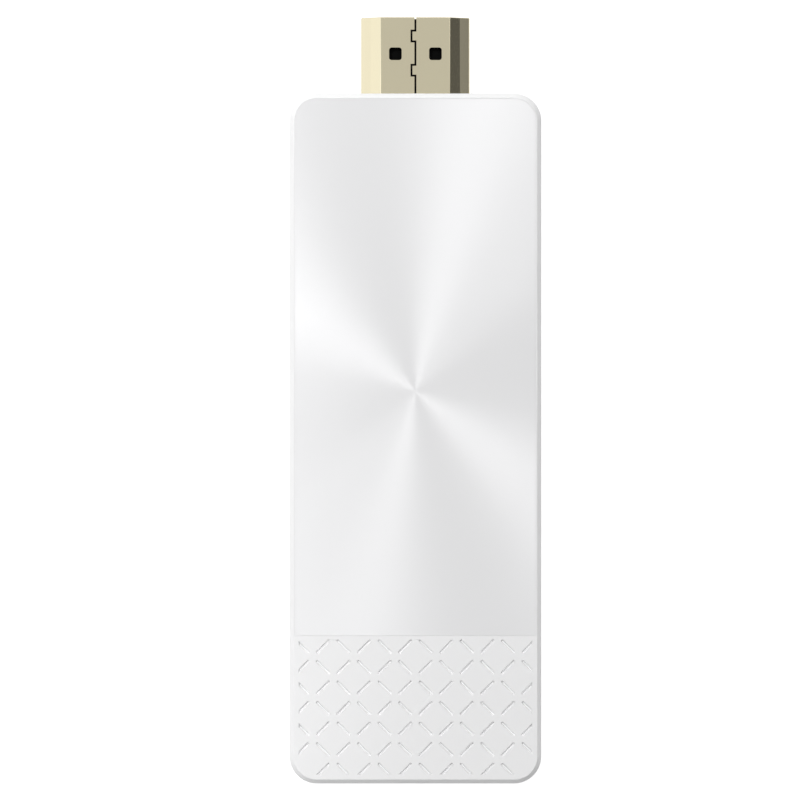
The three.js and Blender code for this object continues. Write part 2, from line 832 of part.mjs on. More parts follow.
// ---------------------------------------------------------------- circuit board and what it carries

function mainBoard() {
  const tailRadius = cornerRadius - sideWall - boardGap;
  const outline = panel(2 * boardHalfWidth, boardTail, boardNose, tailRadius, 1);
  const blank = alongZ(outline, -boardTop, boardTop);
  const notch = (xs, ys) => block(xs, ys, [-boardTop - spare, boardTop + spare]);
  const socketHalf = socketWidth / 2 + notchPlay;
  const socketNotch = notch([-socketHalf, socketHalf], [tailY, tailY + socketBack + 2 * notchPlay]);
  const earNotches = [-1, 1].map((side) => {
    const x = side * (plugWidth / 2 - plugSheet / 2);
    const reach = plugSheet / 2 + notchPlay;
    return notch([x - reach, x + reach], [boardNose - earLength, boardNose + spare]);
  });
  const buttonY = fromTail(buttonFromTail);
  const flangeHalf = buttonLength / 2 + buttonFlange + 2 * notchPlay;
  const flangeNotch = notch(
    [halfWidth - switchFace - notchPlay, halfWidth],
    [buttonY - flangeHalf, buttonY + flangeHalf],
  );
  const switchHalf = switchLength / 2 + switchFrameSheet + notchPlay;
  const switchNotch = notch(
    [halfWidth - switchBack - notchPlay, halfWidth],
    [buttonY - switchHalf, buttonY + switchHalf],
  );
  const holes = fixings.map(([x, y]) =>
    pin(screwRadius + holePlay, -boardTop - spare, boardTop + spare).translate(x, y, 0),
  );
  return cut(blank, socketNotch, ...earNotches, flangeNotch, switchNotch, ...holes);
}

// A part soldered flat on the board: side is 1 on the front and -1 on the rear.
function chip([width, length, height], side = 1) {
  const zs = [boardTop, boardTop + height].map((z) => side * z);
  return block([-width / 2, width / 2], [-length / 2, length / 2], [Math.min(...zs), Math.max(...zs)]);
}

// A five-sided cover of thin sheet that stands on the board, open underneath.
function can([width, length, height], sheet) {
  const inside = block(
    [-width / 2 + sheet, width / 2 - sheet],
    [-length / 2 + sheet, length / 2 - sheet],
    [boardTop - spare, boardTop + height - sheet],
  );
  return cut(chip([width, length, height]), inside);
}

const shieldWidth = 22;
const shieldLength = 20;
const shieldSheet = 0.2;
const shieldFromNose = 24;
const shieldRim = 1.4; // bent in at the top of the fence
const shieldSkirt = 1;
const shieldPlay = 0.04;
const processorHeight = 1.2;
const processorPad = 0.4;
const lidUnderside = boardTop + processorHeight + processorPad;
const spreaderThickness = 0.8;
const spreaderBase = ceilingZ - spreaderThickness;

// The fence is soldered to the board, and its bent-in rim stiffens it.
function shieldFence() {
  const height = lidUnderside - boardTop;
  const window = block(
    [-shieldWidth / 2 + shieldRim, shieldWidth / 2 - shieldRim],
    [-shieldLength / 2 + shieldRim, shieldLength / 2 - shieldRim],
    [boardTop, boardTop + height + spare],
  );
  return cut(can([shieldWidth, shieldLength, height], shieldSheet), window);
}

// The lid clips over the fence, with a skirt on all four sides.
function shieldLid() {
  const grow = 2 * (shieldSheet + shieldPlay);
  const outside = block(
    [-(shieldWidth + grow) / 2, (shieldWidth + grow) / 2],
    [-(shieldLength + grow) / 2, (shieldLength + grow) / 2],
    [lidUnderside - shieldSkirt, lidUnderside + shieldSheet],
  );
  const inside = block(
    [-shieldWidth / 2 - shieldPlay, shieldWidth / 2 + shieldPlay],
    [-shieldLength / 2 - shieldPlay, shieldLength / 2 + shieldPlay],
    [lidUnderside - shieldSkirt - spare, lidUnderside],
  );
  return cut(outside, inside);
}

function processorStack() {
  const lidTop = lidUnderside + shieldSheet;
  const pad = ([width, length], low, high) =>
    block([-width / 2, width / 2], [-length / 2, length / 2], [low, high]);
  return groupAt(
    [0, fromNose(shieldFromNose), 0],
    part("processor", chip([13, 13, processorHeight]), chipBlack),
    part("processor_pad", pad([12, 12], boardTop + processorHeight, lidUnderside), padGrey),
    part("shield_fence", shieldFence(), tinPlate),
    part("shield_lid", shieldLid(), tinPlate),
    part("lid_pad", pad([18, 16], lidTop, spreaderBase), padGrey),
    part("heat_spreader", pad([21, 28], spreaderBase, ceilingZ), aluminium),
    part("memory_chip_1", chip([9, 13, 1], -1), chipBlack, [-5.6, 0, 0]),
    part("memory_chip_2", chip([9, 13, 1], -1), chipBlack, [5.6, 0, 0]),
    part("storage_chip", chip([13, 11.5, 1], -1), chipBlack, [0, -15.5, 0]),
    part("clock_crystal", chip([3.2, 2.5, 0.8]), steel, [4, -13, 0]),
  );
}

// A stamped antenna: a raised plate on a ground leg and a feed leg, with a slot that tunes it.
const antennaWidth = 3.6;
const antennaLength = 11;
const antennaHeight = 2.4;
const antennaSheet = 0.2;
const antennaSlotWidth = 0.6;
const antennaLegWidth = 1.6;
const antennaLegSpacing = 2.5;
const antennaEdgeGap = 0.2;

function antenna() {
  const top = boardTop + antennaHeight;
  const half = antennaLength / 2;
  const sheet = [top - antennaSheet, top];
  const plate = block([-antennaWidth / 2, antennaWidth / 2], [-half, half], sheet);
  const slot = block(
    [-antennaSlotWidth / 2, antennaSlotWidth / 2],
    [-half + antennaWidth, half + spare],
    [top - spare, top + spare],
  );
  const legAcross = [-antennaLegWidth / 2, antennaLegWidth / 2];
  const legUp = [boardTop, top - antennaSheet / 2];
  const legs = [-half, -half + antennaLegSpacing].map((y) =>
    block(legAcross, [y, y + antennaSheet], legUp),
  );
  return join(cut(plate, slot), ...legs);
}

function radioParts() {
  const antennaX = boardHalfWidth - antennaEdgeGap - antennaWidth / 2;
  const antennaY = fromTail(8);
  return [
    part("antenna_left", antenna(), contactGold, [-antennaX, antennaY, 0]),
    part("antenna_right", antenna(), contactGold, [antennaX, antennaY, 0]),
    part("radio_can", can([12, 12, 1.8], shieldSheet), tinPlate, [-3.5, fromTail(24), 0]),
    part("radio_chip", chip([7, 7, 0.9]), chipBlack, [-3.5, fromTail(24), 0]),
  ];
}

function powerParts() {
  return [
    part("power_chip", chip([6, 6, 0.9]), chipBlack, [6, fromTail(17), 0]),
    part("power_inductor_1", chip([4, 4, 1.8]), ferriteGrey, [-2.8, fromTail(10.8), 0]),
    part("power_inductor_2", chip([4, 4, 1.8]), ferriteGrey, [2.8, fromTail(10.8), 0]),
    part("bulk_capacitor", chip([3.5, 2.8, 1.9]), tantalum, [-5.2, fromTail(15.6), 0]),
    part("status_lamp", chip([1.6, 0.8, 1]), clearPlastic, [pipeX, fromTail(pipeLength + lampGap), 0]),
  ];
}

const screwHeadBevel = [0.25, 0.2];
const recessWidth = 0.3;
const recessLength = 1.4;
const recessDepth = 0.4;

// A board screw: a flat head with a cross recess on a plain shank.
function boardScrew() {
  const [bevelInset, bevelDrop] = screwHeadBevel;
  const profile = [
    [0, -screwLength],
    [screwRadius, -screwLength],
    [screwRadius, 0],
    [screwHeadRadius, 0],
    [screwHeadRadius, screwHeadHeight - bevelDrop],
    [screwHeadRadius - bevelInset, screwHeadHeight],
    [0, screwHeadHeight],
  ].map(([radius, z]) => new THREE.Vector2(radius, z));
  const turned = new THREE.LatheGeometry(profile, 16).rotateX(Math.PI / 2);
  const arm = [-recessWidth / 2, recessWidth / 2];
  const reach = [-recessLength / 2, recessLength / 2];
  const depth = [screwHeadHeight - recessDepth, screwHeadHeight + spare];
  return cut(turned, block(arm, reach, depth), block(reach, arm, depth));
}

function boardScrews() {
  const headZ = boardTop + solderGap;
  return fixings.map(([x, y], i) =>
    part(`board_screw_${i + 1}`, boardScrew(), steel, [x, y, headZ]),
  );
}

function board() {
  return groupAt(
    [0, 0, 0],
    part("main_board", mainBoard(), boardGreen),
    processorStack(),
    ...radioParts(),
    ...powerParts(),
    ...boardScrews(),
  );
}

// ---------------------------------------------------------------- the whole stick

const mediaPlayer = groupAt(
  [0, 0, -rearZ],
  housing(),
  buttonAndSwitch(),
  videoPlug(),
  powerSocket(),
  board(),
);

export default mediaPlayer;
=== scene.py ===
import math

import bmesh
import bpy
from mathutils import Matrix, Vector


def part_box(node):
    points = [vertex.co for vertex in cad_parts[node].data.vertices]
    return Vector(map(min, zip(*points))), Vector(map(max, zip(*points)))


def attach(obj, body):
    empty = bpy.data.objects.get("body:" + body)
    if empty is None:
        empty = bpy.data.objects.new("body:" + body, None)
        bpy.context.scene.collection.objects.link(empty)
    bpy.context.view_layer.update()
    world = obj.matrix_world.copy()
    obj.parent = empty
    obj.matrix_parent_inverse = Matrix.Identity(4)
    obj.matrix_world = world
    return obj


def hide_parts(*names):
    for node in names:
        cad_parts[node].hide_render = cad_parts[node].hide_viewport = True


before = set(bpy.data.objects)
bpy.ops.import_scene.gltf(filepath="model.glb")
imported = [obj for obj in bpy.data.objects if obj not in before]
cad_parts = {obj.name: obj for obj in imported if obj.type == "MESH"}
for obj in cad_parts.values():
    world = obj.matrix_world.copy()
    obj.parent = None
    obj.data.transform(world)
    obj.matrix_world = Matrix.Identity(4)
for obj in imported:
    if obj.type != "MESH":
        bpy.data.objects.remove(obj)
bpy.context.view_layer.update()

# A streaming media stick lying on its back on a white table, seen from straight above, plug at the top.
# Lengths are in metres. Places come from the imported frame; MM turns a bench figure into metres.

MM = 0.001

# ------------------------------------------------------------------ places taken from the frame

FRONT_LOW, FRONT_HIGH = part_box("front_shell")
REAR_LOW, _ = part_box("rear_shell")
BOARD_LOW, BOARD_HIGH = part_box("main_board")
PLATE_LOW, PLATE_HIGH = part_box("spun_plate")
PLUG_LOW, PLUG_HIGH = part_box("video_plug_shell")
SOCKET_LOW, SOCKET_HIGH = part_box("power_socket_shell")
BUTTON_LOW, BUTTON_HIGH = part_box("side_button")
PIPE_LOW, PIPE_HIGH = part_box("light_pipe")
HALF_WIDTH = FRONT_HIGH.x
TAIL_Y = FRONT_LOW.y
NOSE_Y = FRONT_HIGH.y
FRONT_Z = FRONT_HIGH.z
REAR_Z = REAR_LOW.z
PARTING_Z = (BOARD_LOW.z + BOARD_HIGH.z) / 2
BUTTON_Y = (BUTTON_LOW.y + BUTTON_HIGH.y) / 2
PIPE_X = (PIPE_LOW.x + PIPE_HIGH.x) / 2
PIPE_Z = (PIPE_LOW.z + PIPE_HIGH.z) / 2

# ------------------------------------------------------------------ sizes, piece by piece

CORNER_RADIUS = 3.55 * MM
SIDE_WALL = 1.2 * MM
FRONT_WALL = 1.6 * MM
REAR_WALL = 1.2 * MM
MOULD_DRAFT = 0.08 * MM
FACE_BEVEL = 0.68 * MM
BEVEL_OUTER_RADIUS = 0.55 * MM
BEVEL_INNER_RADIUS = 0.16 * MM
REAR_ROUND = 0.9 * MM
RIM_ROUND = 0.07 * MM
SHADOW_GAP = 0.15 * MM
LIP_THICKNESS = 0.55 * MM
LIP_DEPTH = 0.9 * MM
LIP_PLAY = 0.08 * MM
OPENING_PLAY = 0.08 * MM
MOUTH_CHAMFER = 0.16 * MM
PLATE_SEAT = 0.5 * MM
PLATE_GROOVE = 0.012 * MM
PLATE_EDGE = 0.012 * MM
CORNER_STEPS = 20
SHARPEST_CORNER = 0.05 * MM
SMALLEST_FILLET = 0.02 * MM
OVERRUN = 1 * MM

SPUN_FROM_TAIL = 49.98 * MM
SPUN_CENTRE = Vector((0, TAIL_Y + SPUN_FROM_TAIL, 0))
SLOT_PITCH = 2.615 * MM
SLOT_LENGTH = 2.42 * MM
SLOT_WIDTH = 0.42 * MM
SLOT_DEPTH = 0.3 * MM
SLOT_WALL_DRAFT = 0.13 * MM
SLOT_SOFTENING = 0.02 * MM
SLOT_FIELD_EDGE = 1.25 * MM
FIRST_ROW_DROP = 1.4 * MM
SLOT_COLUMNS = 12
SLOT_ROWS = 7

VENT_LENGTH = 9 * MM
VENT_WIDTH = 1 * MM
VENT_PITCH = 2.4 * MM
VENT_ROWS = 6
VENT_COLUMNS = 2
VENT_SPACING = 11.5 * MM
VENTS_FROM_NOSE = 15 * MM
VENT_CHAMFER = 0.12 * MM

PLUG_SHEET = 0.3 * MM
PLUG_HALF_WIDTH = 6.95 * MM
PLUG_HALF_HEIGHT = 2.225 * MM
PLUG_SIDE_TOP = 0.345 * MM
PLUG_INSIDE = 6.2 * MM
PLUG_EAR_INSET = 0.5 * MM
EAR_EASE = 0.01 * MM
WINDOW_SIZE = 1.55 * MM
WINDOW_RADIUS = 0.3 * MM
WINDOW_SPACING = 5.12 * MM
WINDOW_FROM_TIP = 4.7 * MM
SEAM_WIDTH = 0.22 * MM
SEAM_TAB_WIDTH = 0.5 * MM
SEAM_TAB_LENGTH = 1.38 * MM
SEAM_TABS_FROM_TIP = (1.74 * MM, 6.11 * MM)
SHEET_BREAK = 0.03 * MM
TONGUE_SLOT_WIDTH = 11 * MM
TONGUE_SLOT_HEIGHT = 1.9 * MM
TONGUE_SLOT_DEPTH = 8 * MM
BLOCK_CLEARANCE = 0.05 * MM
BLOCK_DROP = 0.25 * MM
BLOCK_BACK_INSET = 0.4 * MM
BLOCK_CHAMFER = 0.14 * MM
TONGUE_LEAD = 0.3 * MM
TONGUE_CORNER = 0.1 * MM
POCKET_WIDTH = 2.2 * MM
POCKET_LENGTH = 3 * MM
POCKET_CORNER = 0.2 * MM
POCKET_WALL = 0.1 * MM
CONTACT_PITCH = 1 * MM
CONTACT_WIDTH = 0.4 * MM
CONTACT_SHEET = 0.2 * MM
CONTACT_PLAY = 0.1 * MM
CONTACT_SPRING = 0.35 * MM
CONTACT_BEND = 0.25 * MM
CONTACT_NOSE = 0.5 * MM
CONTACT_CREST = (1.3 * MM, 2 * MM)
CONTACT_HEEL = 3.6 * MM
CONTACT_TAIL = 0.1 * MM
CONTACT_FOOT = (0.5 * MM, 2.1 * MM)
STRIP_EDGE = 0.02 * MM
SOLDER_GAP = 0.01 * MM
WIDE_CONTACTS = 10
NARROW_CONTACTS = 9

POWER_SHEET = 0.25 * MM
POWER_BLOCK_LENGTH = 1.5 * MM
POWER_CONTACTS = 5
POWER_PITCH = 0.65 * MM
POWER_CONTACT_WIDTH = 0.3 * MM
POWER_CONTACT_SHEET = 0.12 * MM
POWER_CONTACT_BEND = 0.1 * MM
POWER_CONTACT_NOSE = 1 * MM
POWER_CONTACT_DROP = (0.05 * MM, 0.2 * MM)
POWER_FOOT_REACH = 1.5 * MM
POWER_BLOCK_INSET = 0.1 * MM
SOCKET_HALF_WIDTH = 3.8 * MM
SOCKET_HALF_HEIGHT = 1.3 * MM
WINGS_FROM_TAIL = (2.2 * MM, 4.6 * MM)
WING_LENGTH = 1.1 * MM
WING_CORNER = 0.1 * MM
TONGUE_HALF_WIDTH = 1.85 * MM
TONGUE_THICKNESS = 0.6 * MM
TONGUE_EDGE = 0.08 * MM
TONGUE_TAPER = 0.12 * MM
TONGUE_FROM_MOUTH = 0.8 * MM
TONGUE_ROOT = 0.25 * MM
TONGUE_GAP = 0.02 * MM
POWER_CHANNEL_HALF = 0.19 * MM
POWER_CHANNEL_DROP = 0.1 * MM
POWER_CONTACT_RISE = 0.02 * MM

BUTTON_LENGTH = 6 * MM
BUTTON_HEIGHT = 2.4 * MM
BUTTON_FLANGE = 0.7 * MM
BUTTON_EDGE = 0.28 * MM
BUTTON_DISH = 0.07 * MM
BUTTON_DISH_REACH = 0.5 * MM
BUTTON_WALL_GAP = 0.05 * MM
FLANGE_THICKNESS = 0.6 * MM
FLANGE_CHAMFER = 0.1 * MM
STEM_HALF_LENGTH = 1 * MM
STEM_HALF_HEIGHT = 0.7 * MM
STEM_CORNER = 0.15 * MM
STEM_OVERLAP = 0.2 * MM
PIPE_RADIUS = 0.7 * MM
PIPE_DOME = 0.12 * MM
PIPE_EDGE = 0.06 * MM
PIPE_FLANGE_RADIUS = 1.1 * MM
PIPE_FLANGE = 0.5 * MM
PIPE_WALL_GAP = 0.08 * MM

SUPPORT_WIDTH = 3 * MM
SUPPORT_REACH = 0.9 * MM
SUPPORT_CORNER = 0.2 * MM
SUPPORTS_FROM_NOSE = 15 * MM
SUPPORTS_FROM_TAIL = 22 * MM
BOSS_RADIUS = 1.6 * MM
PILOT_RADIUS = 0.64 * MM
PILOT_FLOOR = 0.4 * MM


# ------------------------------------------------------------------ node wiring

def wire(tree, kind, inputs=None, **settings):
    """A new node in the tree. Inputs are values or other nodes' outputs, by socket name or number."""
    node = tree.nodes.new(kind)
    for key, value in settings.items():
        setattr(node, key, value)
    for key, value in (inputs or {}).items():
        socket = node.inputs[key]
        if isinstance(value, bpy.types.NodeSocket):
            tree.links.new(value, socket)
        else:
            socket.default_value = value
    return node


def maths(tree, operation, first, second=0.0, third=0.0):
    """One step of arithmetic. Works in shader trees and geometry trees."""
    node = wire(tree, "ShaderNodeMath", {0: first, 1: second, 2: third}, operation=operation)
    return node.outputs[0]


def along(tree, operation, first, second=(0, 0, 0), out=0):
    """One step of vector arithmetic."""
    node = wire(tree, "ShaderNodeVectorMath", {0: first, 1: second}, operation=operation)
    return node.outputs[out]


# ------------------------------------------------------------------ mesh making

def panel_ring(half, low, high, low_radius, high_radius, z):
    """A round-cornered rectangle at height z, anticlockwise from above."""
    corners = [
        (half - low_radius, low + low_radius, low_radius, -90),
        (half - high_radius, high - high_radius, high_radius, 0),
        (-half + high_radius, high - high_radius, high_radius, 90),
        (-half + low_radius, low + low_radius, low_radius, 180),
    ]
    ring = []
    for x, y, radius, start in corners:
        for step in range(CORNER_STEPS + 1):
            angle = math.radians(start + 90 * step / CORNER_STEPS)
            ring.append(Vector((x + radius * math.cos(angle), y + radius * math.sin(angle), z)))
    return ring


def footprint(inset, z):
    """The housing's outline with its sides moved in, at height z."""
    radius = max(CORNER_RADIUS - inset, SHARPEST_CORNER)
    return panel_ring(HALF_WIDTH - inset, TAIL_Y + inset, NOSE_Y - inset, radius, radius, z)


def rounded(corners, grow=0.0, steps=5):
    """The points of a polygon with filleted corners, moved outwards by grow. Corners are (u, v, radius)."""
    count = len(corners)
    points = [Vector(c[:2]) for c in corners]
    sides = [(points[(i + 1) % count] - points[i]).normalized() for i in range(count)]
    out = []
    for i, (_, _, radius) in enumerate(corners):
        before, after = sides[i - 1], sides[i]
        turn = before.x * after.y - before.y * after.x
        half = math.atan2(turn, before.dot(after)) / 2
        outward = (Vector((before.y, -before.x)) + Vector((after.y, -after.x))).normalized()
        corner = points[i] + outward * (grow / math.cos(half))
        fillet = max(radius + grow * math.copysign(1, turn), SMALLEST_FILLET)
        middle = corner - outward * (math.copysign(fillet, turn) / math.cos(half))
        for step in range(steps + 1):
            share = (step / steps - 0.5) * 2 * half
            arm = outward * math.copysign(fillet, turn)
            out.append(middle + Matrix.Rotation(share, 2) @ arm)
    return out


def loft(rings, closed=False):
    """A closed solid through rings of equal length, capped at its ends unless the rings form a loop."""
    shape = bmesh.new()
    loops = [[shape.verts.new(point) for point in ring] for ring in rings]
    pairs = list(zip(loops, loops[1:]))
    if closed:
        pairs.append((loops[-1], loops[0]))
    count = len(loops[0])
    for low, high in pairs:
        for i in range(count):
            following = (i + 1) % count
            shape.faces.new((low[i], low[following], high[following], high[i]))
    if not closed:
        shape.faces.new(loops[0][::-1])
        shape.faces.new(loops[-1])
    bmesh.ops.remove_doubles(shape, verts=shape.verts[:], dist=1e-8)
    bmesh.ops.recalc_face_normals(shape, faces=shape.faces[:])
    return shape


def as_object(name, shape, material=None):
    """A bmesh made into an object of its own, at the origin."""
    mesh = bpy.data.meshes.new(name)
    shape.to_mesh(mesh)
    shape.free()
    made = bpy.data.objects.new(name, mesh)
    bpy.context.scene.collection.objects.link(made)
    if material:
        mesh.materials.append(material)
    return made


def set_mesh(piece):
    """Turns what the modifiers make of a piece into its plain mesh."""
    depsgraph = bpy.context.evaluated_depsgraph_get()
    made = bpy.data.meshes.new_from_object(piece.evaluated_get(depsgraph))
    piece.modifiers.clear()
    piece.data = made
    return piece


def boolean(piece, tool, operation):
    """Cuts a tool out of a piece, or joins it on, and throws the tool away."""
    step = piece.modifiers.new("work", "BOOLEAN")
    step.object = tool
    step.operation = operation
    step.solver = "MANIFOLD"
    set_mesh(piece)
    bpy.data.objects.remove(tool)
    return piece


def cut(piece, *tools):
    for tool in tools:
        boolean(piece, tool, "DIFFERENCE")
    return piece


def join(piece, *tools):
    for tool in tools:
        boolean(piece, tool, "UNION")
    return piece


def smooth(piece, angle=32):
    """Round stretches are shaded smooth, and flat faces stay flat right up to them."""
    shape = bmesh.new()
    shape.from_mesh(piece.data)
    bmesh.ops.remove_doubles(shape, verts=shape.verts[:], dist=1e-7)
    bmesh.ops.dissolve_degenerate(shape, edges=shape.edges[:], dist=1e-7)
    shape.to_mesh(piece.data)
    shape.free()
    piece.data.shade_smooth()
    piece.data.set_sharp_from_angle(angle=math.radians(angle))
    weigh = piece.modifiers.new("weigh", "WEIGHTED_NORMAL")
    weigh.keep_sharp = True
    weigh.weight = 100
    return set_mesh(piece)


def in_plan(points, z):
    return [Vector((u, v, z)) for u, v in points]


def facing_y(points, y):
    return [Vector((u, y, v)) for u, v in points]


def facing_x(points, x):
    return [Vector((x, u, v)) for u, v in points]


def mirrored(right):
    """All corners of an outline, anticlockwise, from those on its right side, lowest first."""
    return right + [(-u, v, radius) for u, v, radius in right[::-1]]


def rectangle(half_width, low, high, radius):
    return mirrored([(half_width, low, radius), (half_width, high, radius)])


def stadium(length, width):
    """A slot outline along u with round ends, which stop just short of a half circle's full radius."""
    half = width / 2
    return rectangle(length / 2, -half, half, half * 0.999)


def circle(radius, steps=32):
    turns = [2 * math.pi * i / steps for i in range(steps)]
    return [Vector((radius * math.cos(a), radius * math.sin(a))) for a in turns]


def brick(low, high, radius=0.0):
    """A block between two corners, with its upright edges rounded."""
    (x0, y0, z0), (x1, y1, z1) = low, high
    corners = [(x1, y0, radius), (x1, y1, radius), (x0, y1, radius), (x0, y0, radius)]
    return as_object("brick", loft([in_plan(rounded(corners), z) for z in (z0, z1)]))


def eased(path, radius, steps=4):
    """A path with its corners rounded."""
    points = [Vector(point) for point in path]
    out = [points[0]]
    for before, corner, after in zip(points, points[1:], points[2:]):
        reach = min(radius, (before - corner).length / 2.1, (after - corner).length / 2.1)
        start = corner + (before - corner).normalized() * reach
        end = corner + (after - corner).normalized() * reach
        for step in range(steps + 1):
            share = step / steps
            out.append(start.lerp(corner, share).lerp(corner.lerp(end, share), share))
    return out + [points[-1]]


def ribbon(path, width):
    """The outline of a strip that follows a path."""
    points = [Vector(point) for point in path]
    sides = [(b - a).normalized() for a, b in zip(points, points[1:])]
    left, right = [], []
    for i, point in enumerate(points):
        before = sides[max(i - 1, 0)]
        after = sides[min(i, len(sides) - 1)]
        mitre = (Vector((-before.y, before.x)) + Vector((-after.y, after.x))).normalized()
        arm = mitre * (width / 2 / mitre.dot(Vector((-after.y, after.x))))
        left.append(point + arm)
        right.append(point - arm)
    return right + left[::-1]


def bent_strip(name, path, sheet, width):
    """A strip of sheet, bent along a path in y and z, with its long edges just broken."""
    half = width / 2
    ease = min(STRIP_EDGE, sheet / 5)
    stations = [(-half, sheet - 2 * ease), (-half + ease, sheet)]
    stations += [(-x, thickness) for x, thickness in stations[::-1]]
    return as_object(name, loft([facing_x(ribbon(path, w), x) for x, w in stations]))


def row_of(name, shape, count, pitch, middle, material):
    """Copies of a shape in a row along x, laid out by a tree of nodes with named sizes, as one mesh."""
    tree = bpy.data.node_groups.new(name, "GeometryNodeTree")
    face = tree.interface
    wanted = {
        "Shape": ("NodeSocketObject", shape), "Count": ("NodeSocketInt", count),
        "Pitch": ("NodeSocketFloat", pitch), "Middle": ("NodeSocketVector", middle),
    }
    face.new_socket("Geometry", in_out="OUTPUT", socket_type="NodeSocketGeometry")
    for label, (kind, _) in wanted.items():
        face.new_socket(label, in_out="INPUT", socket_type=kind)
    given = wire(tree, "NodeGroupInput").outputs
    step = wire(tree, "ShaderNodeCombineXYZ", {0: given["Pitch"]}).outputs[0]
    half_span = maths(tree, "MULTIPLY", maths(tree, "SUBTRACT", given["Count"], 1.0),
                      maths(tree, "MULTIPLY", given["Pitch"], 0.5))
    back = wire(tree, "ShaderNodeCombineXYZ", {0: half_span}).outputs[0]
    start = along(tree, "SUBTRACT", given["Middle"], back)
    line = wire(tree, "GeometryNodeMeshLine",
                {"Count": given["Count"], "Start Location": start, "Offset": step}).outputs[0]
    copied = wire(tree, "GeometryNodeObjectInfo", {"Object": given["Shape"]}).outputs["Geometry"]
    copies = wire(tree, "GeometryNodeInstanceOnPoints", {"Points": line, "Instance": copied}).outputs[0]
    real = wire(tree, "GeometryNodeRealizeInstances", {0: copies}).outputs[0]
    done = wire(tree, "GeometryNodeSetMaterial", {"Geometry": real, "Material": material}).outputs[0]
    out = wire(tree, "NodeGroupOutput")
    tree.links.new(done, out.inputs["Geometry"])
    return laid_out(name, tree, wanted, shape)


def laid_out(name, tree, wanted, shape):
    """Gives a tree its sizes, turns what it makes into a plain mesh and throws the shape away."""
    holder = as_object(name, bmesh.new())
    modifier = holder.modifiers.new("layout", "NODES")
    modifier.node_group = tree
    for item in tree.interface.items_tree:
        if item.in_out == "INPUT" and item.name in wanted:
            modifier[item.identifier] = wanted[item.name][1]
    set_mesh(holder)
    bpy.data.objects.remove(shape)
    return holder


def fit(piece, body, slot_name, *nodes):
    """Hangs a finished piece on the body it rides on and hides the nodes that it stands for. slot_name, the
    finish's name, is not used.
    """
    if nodes:
        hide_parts(*nodes)
    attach(piece, body)


# ------------------------------------------------------------------ finishes

CLOUDS_PER_METRE = 120.0
GLOSS_SWING = 0.04
RINGS_PER_METRE = 9000.0
RING_RELIEF = 0.002 * MM


def finish(name, colour, roughness, metallic=0.0, **options):
    """A moulded, plated or printed surface: fine grain in its colour, gloss and relief.

    stretch pulls the grain along an axis, grain is its size, relief its height and mottle its strength."""
    grain = options.pop("grain", 0.3 * MM)
    relief = options.pop("relief", 0.0006 * MM)
    mottle = options.pop("mottle", 0.03)
    stretch = options.pop("stretch", (1, 1, 1))
    made = bpy.data.materials.new(name)
    made.use_nodes = True
    tree = made.node_tree
    surface = tree.nodes["Principled BSDF"]
    place = wire(tree, "ShaderNodeTexCoord").outputs["Object"]
    fine = wire(tree, "ShaderNodeMapping", {"Vector": place, "Scale": stretch}).outputs[0]
    speck = wire(tree, "ShaderNodeTexNoise", {"Vector": fine, "Scale": 1 / grain, "Detail": 3.0})
    cloud = wire(tree, "ShaderNodeTexNoise", {"Vector": place, "Scale": CLOUDS_PER_METRE, "Detail": 2.0})
    blend = maths(tree, "ADD", maths(tree, "MULTIPLY", speck.outputs[0], 0.6),
                  maths(tree, "MULTIPLY", cloud.outputs[0], 0.4))
    darker = [c * (1 - mottle) for c in colour] + [1]
    lighter = [min(1, c * (1 + mottle)) for c in colour] + [1]
    tint = wire(tree, "ShaderNodeMix", {"Factor": blend, 6: darker, 7: lighter}, data_type="RGBA")
    gloss = wire(tree, "ShaderNodeMapRange",
                 {"Value": blend, "From Min": 0.3, "From Max": 0.7,
                  "To Min": max(roughness - GLOSS_SWING, 0.02), "To Max": roughness + GLOSS_SWING})
    bump = wire(tree, "ShaderNodeBump", {"Height": speck.outputs[0], "Strength": 1.0, "Distance": relief})
    tree.links.new(tint.outputs[2], surface.inputs["Base Color"])
    tree.links.new(gloss.outputs[0], surface.inputs["Roughness"])
    tree.links.new(bump.outputs[0], surface.inputs["Normal"])
    surface.inputs["Metallic"].default_value = metallic
    for socket, value in options.items():
        surface.inputs[socket.replace("_", " ")].default_value = value
    return made


def spun_finish():
    """Pearl lacquer over rings spun about one point, so that light gathers into rays from that point."""
    made = finish("spun_pearl_lacquer", (0.934, 0.934, 0.941), 0.42, metallic=0.4, mottle=0.004,
                  Anisotropic=0.97)
    tree = made.node_tree
    surface = tree.nodes["Principled BSDF"]
    place = wire(tree, "ShaderNodeTexCoord").outputs["Object"]
    arm = along(tree, "SUBTRACT", place, tuple(SPUN_CENTRE))
    flat = along(tree, "MULTIPLY", arm, (1, 1, 0))
    outwards = along(tree, "NORMALIZE", flat)
    radius = along(tree, "LENGTH", flat, out=1)
    rings = wire(tree, "ShaderNodeTexNoise",
                 {"W": maths(tree, "MULTIPLY", radius, RINGS_PER_METRE), "Scale": 1.0, "Detail": 4.0},
                 noise_dimensions="1D")
    bump = wire(tree, "ShaderNodeBump",
                {"Height": rings.outputs[0], "Strength": 0.25, "Distance": RING_RELIEF})
    tree.links.new(bump.outputs[0], surface.inputs["Normal"])
    tree.links.new(outwards, surface.inputs["Tangent"])
    return made


